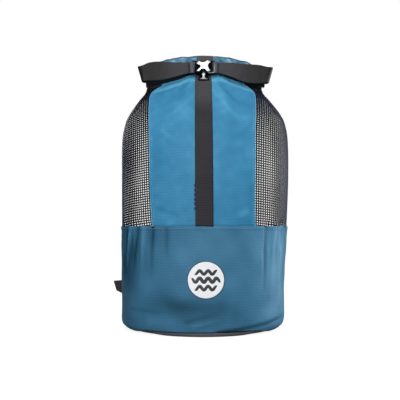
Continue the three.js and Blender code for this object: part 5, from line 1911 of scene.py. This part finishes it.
def floor():
    """A plain pale floor, a disc as wide as a studio table. It glows a little, as a lit white sweep does."""
    mesh = bpy.data.meshes.new("studio_floor")
    build = bmesh.new()
    bmesh.ops.create_circle(build, cap_ends=True, radius=1.1, segments=96)
    build.to_mesh(mesh)
    build.free()
    made, tree, shader = new_material(
        "studio_floor_paint",
        {
            "Base Color": colour("#8e8e8e"),
            "Roughness": 0.9,
            "Specular IOR Level": 0.0,
            "Emission Color": (1, 1, 1, 1),
        },
    )
    seen = add_node(tree, "LightPath")
    glow = add_node(
        tree, "MapRange", {"Value": seen.outputs["Is Camera Ray"], "To Min": 0.03, "To Max": 0.85}
    )
    tree.links.new(glow.outputs["Result"], shader.inputs["Emission Strength"])
    mesh.materials.append(made)
    obj = bpy.data.objects.new("studio_floor", mesh)
    obj.location = (0, 0, -0.0005)
    bpy.context.scene.collection.objects.link(obj)
    return obj


def softbox(name, place, target, size, power):
    """A rectangular studio light that points at a target."""
    data = bpy.data.lights.new(name, "AREA")
    data.shape = "RECTANGLE"
    data.size, data.size_y = size
    data.energy = power
    obj = bpy.data.objects.new(name, data)
    obj.location = place
    obj.rotation_euler = (Vector(target) - Vector(place)).to_track_quat("-Z", "Y").to_euler()
    bpy.context.scene.collection.objects.link(obj)
    return obj


def studio_world():
    """A white surround behind the bag, and a softer grey that lights it."""
    world = bpy.data.worlds.new("studio")
    world.use_nodes = True
    tree = world.node_tree
    tree.nodes.clear()
    seen = add_node(tree, "LightPath")
    white = add_node(tree, "Background", {"Color": (1, 1, 1, 1), "Strength": 1.0})
    fill = add_node(tree, "Background", {"Color": (0.95, 0.98, 1, 1), "Strength": 0.12})
    both = add_node(
        tree,
        "MixShader",
        {0: seen.outputs["Is Camera Ray"], 1: fill.outputs[0], 2: white.outputs[0]},
    )
    add_node(tree, "OutputWorld", {"Surface": both.outputs[0]})
    bpy.context.scene.world = world


CAMERA_TILT = 2.38
FOCAL_SHARE = 625 / 400  # focal length as a share of the picture's width


def camera():
    data = bpy.data.cameras.new("camera")
    data.sensor_width = 36
    data.lens = 36 * FOCAL_SHARE
    obj = bpy.data.objects.new("camera", data)
    obj.location = Vector(CAMERA_PLACE) * MM
    obj.rotation_euler = (math.radians(90 + CAMERA_TILT), 0, 0)
    bpy.context.scene.collection.objects.link(obj)
    bpy.context.scene.camera = obj


floor()
softbox("front", (-0.3, -2.2, 0.75), (0, 0, 0.3), (1.2, 1.0), 34)
softbox("side", (1.6, 0.35, 0.5), (0, 0, 0.2), (0.5, 1.0), 24)
softbox("top", (0.0, -0.7, 1.8), (0, 0, 0.3), (1.4, 0.8), 13)
softbox("back", (-0.6, 2.1, 1.1), (0, 0, 0.3), (1.2, 1.0), 22)
studio_world()
camera()
bpy.context.scene.view_settings.view_transform = "Standard"
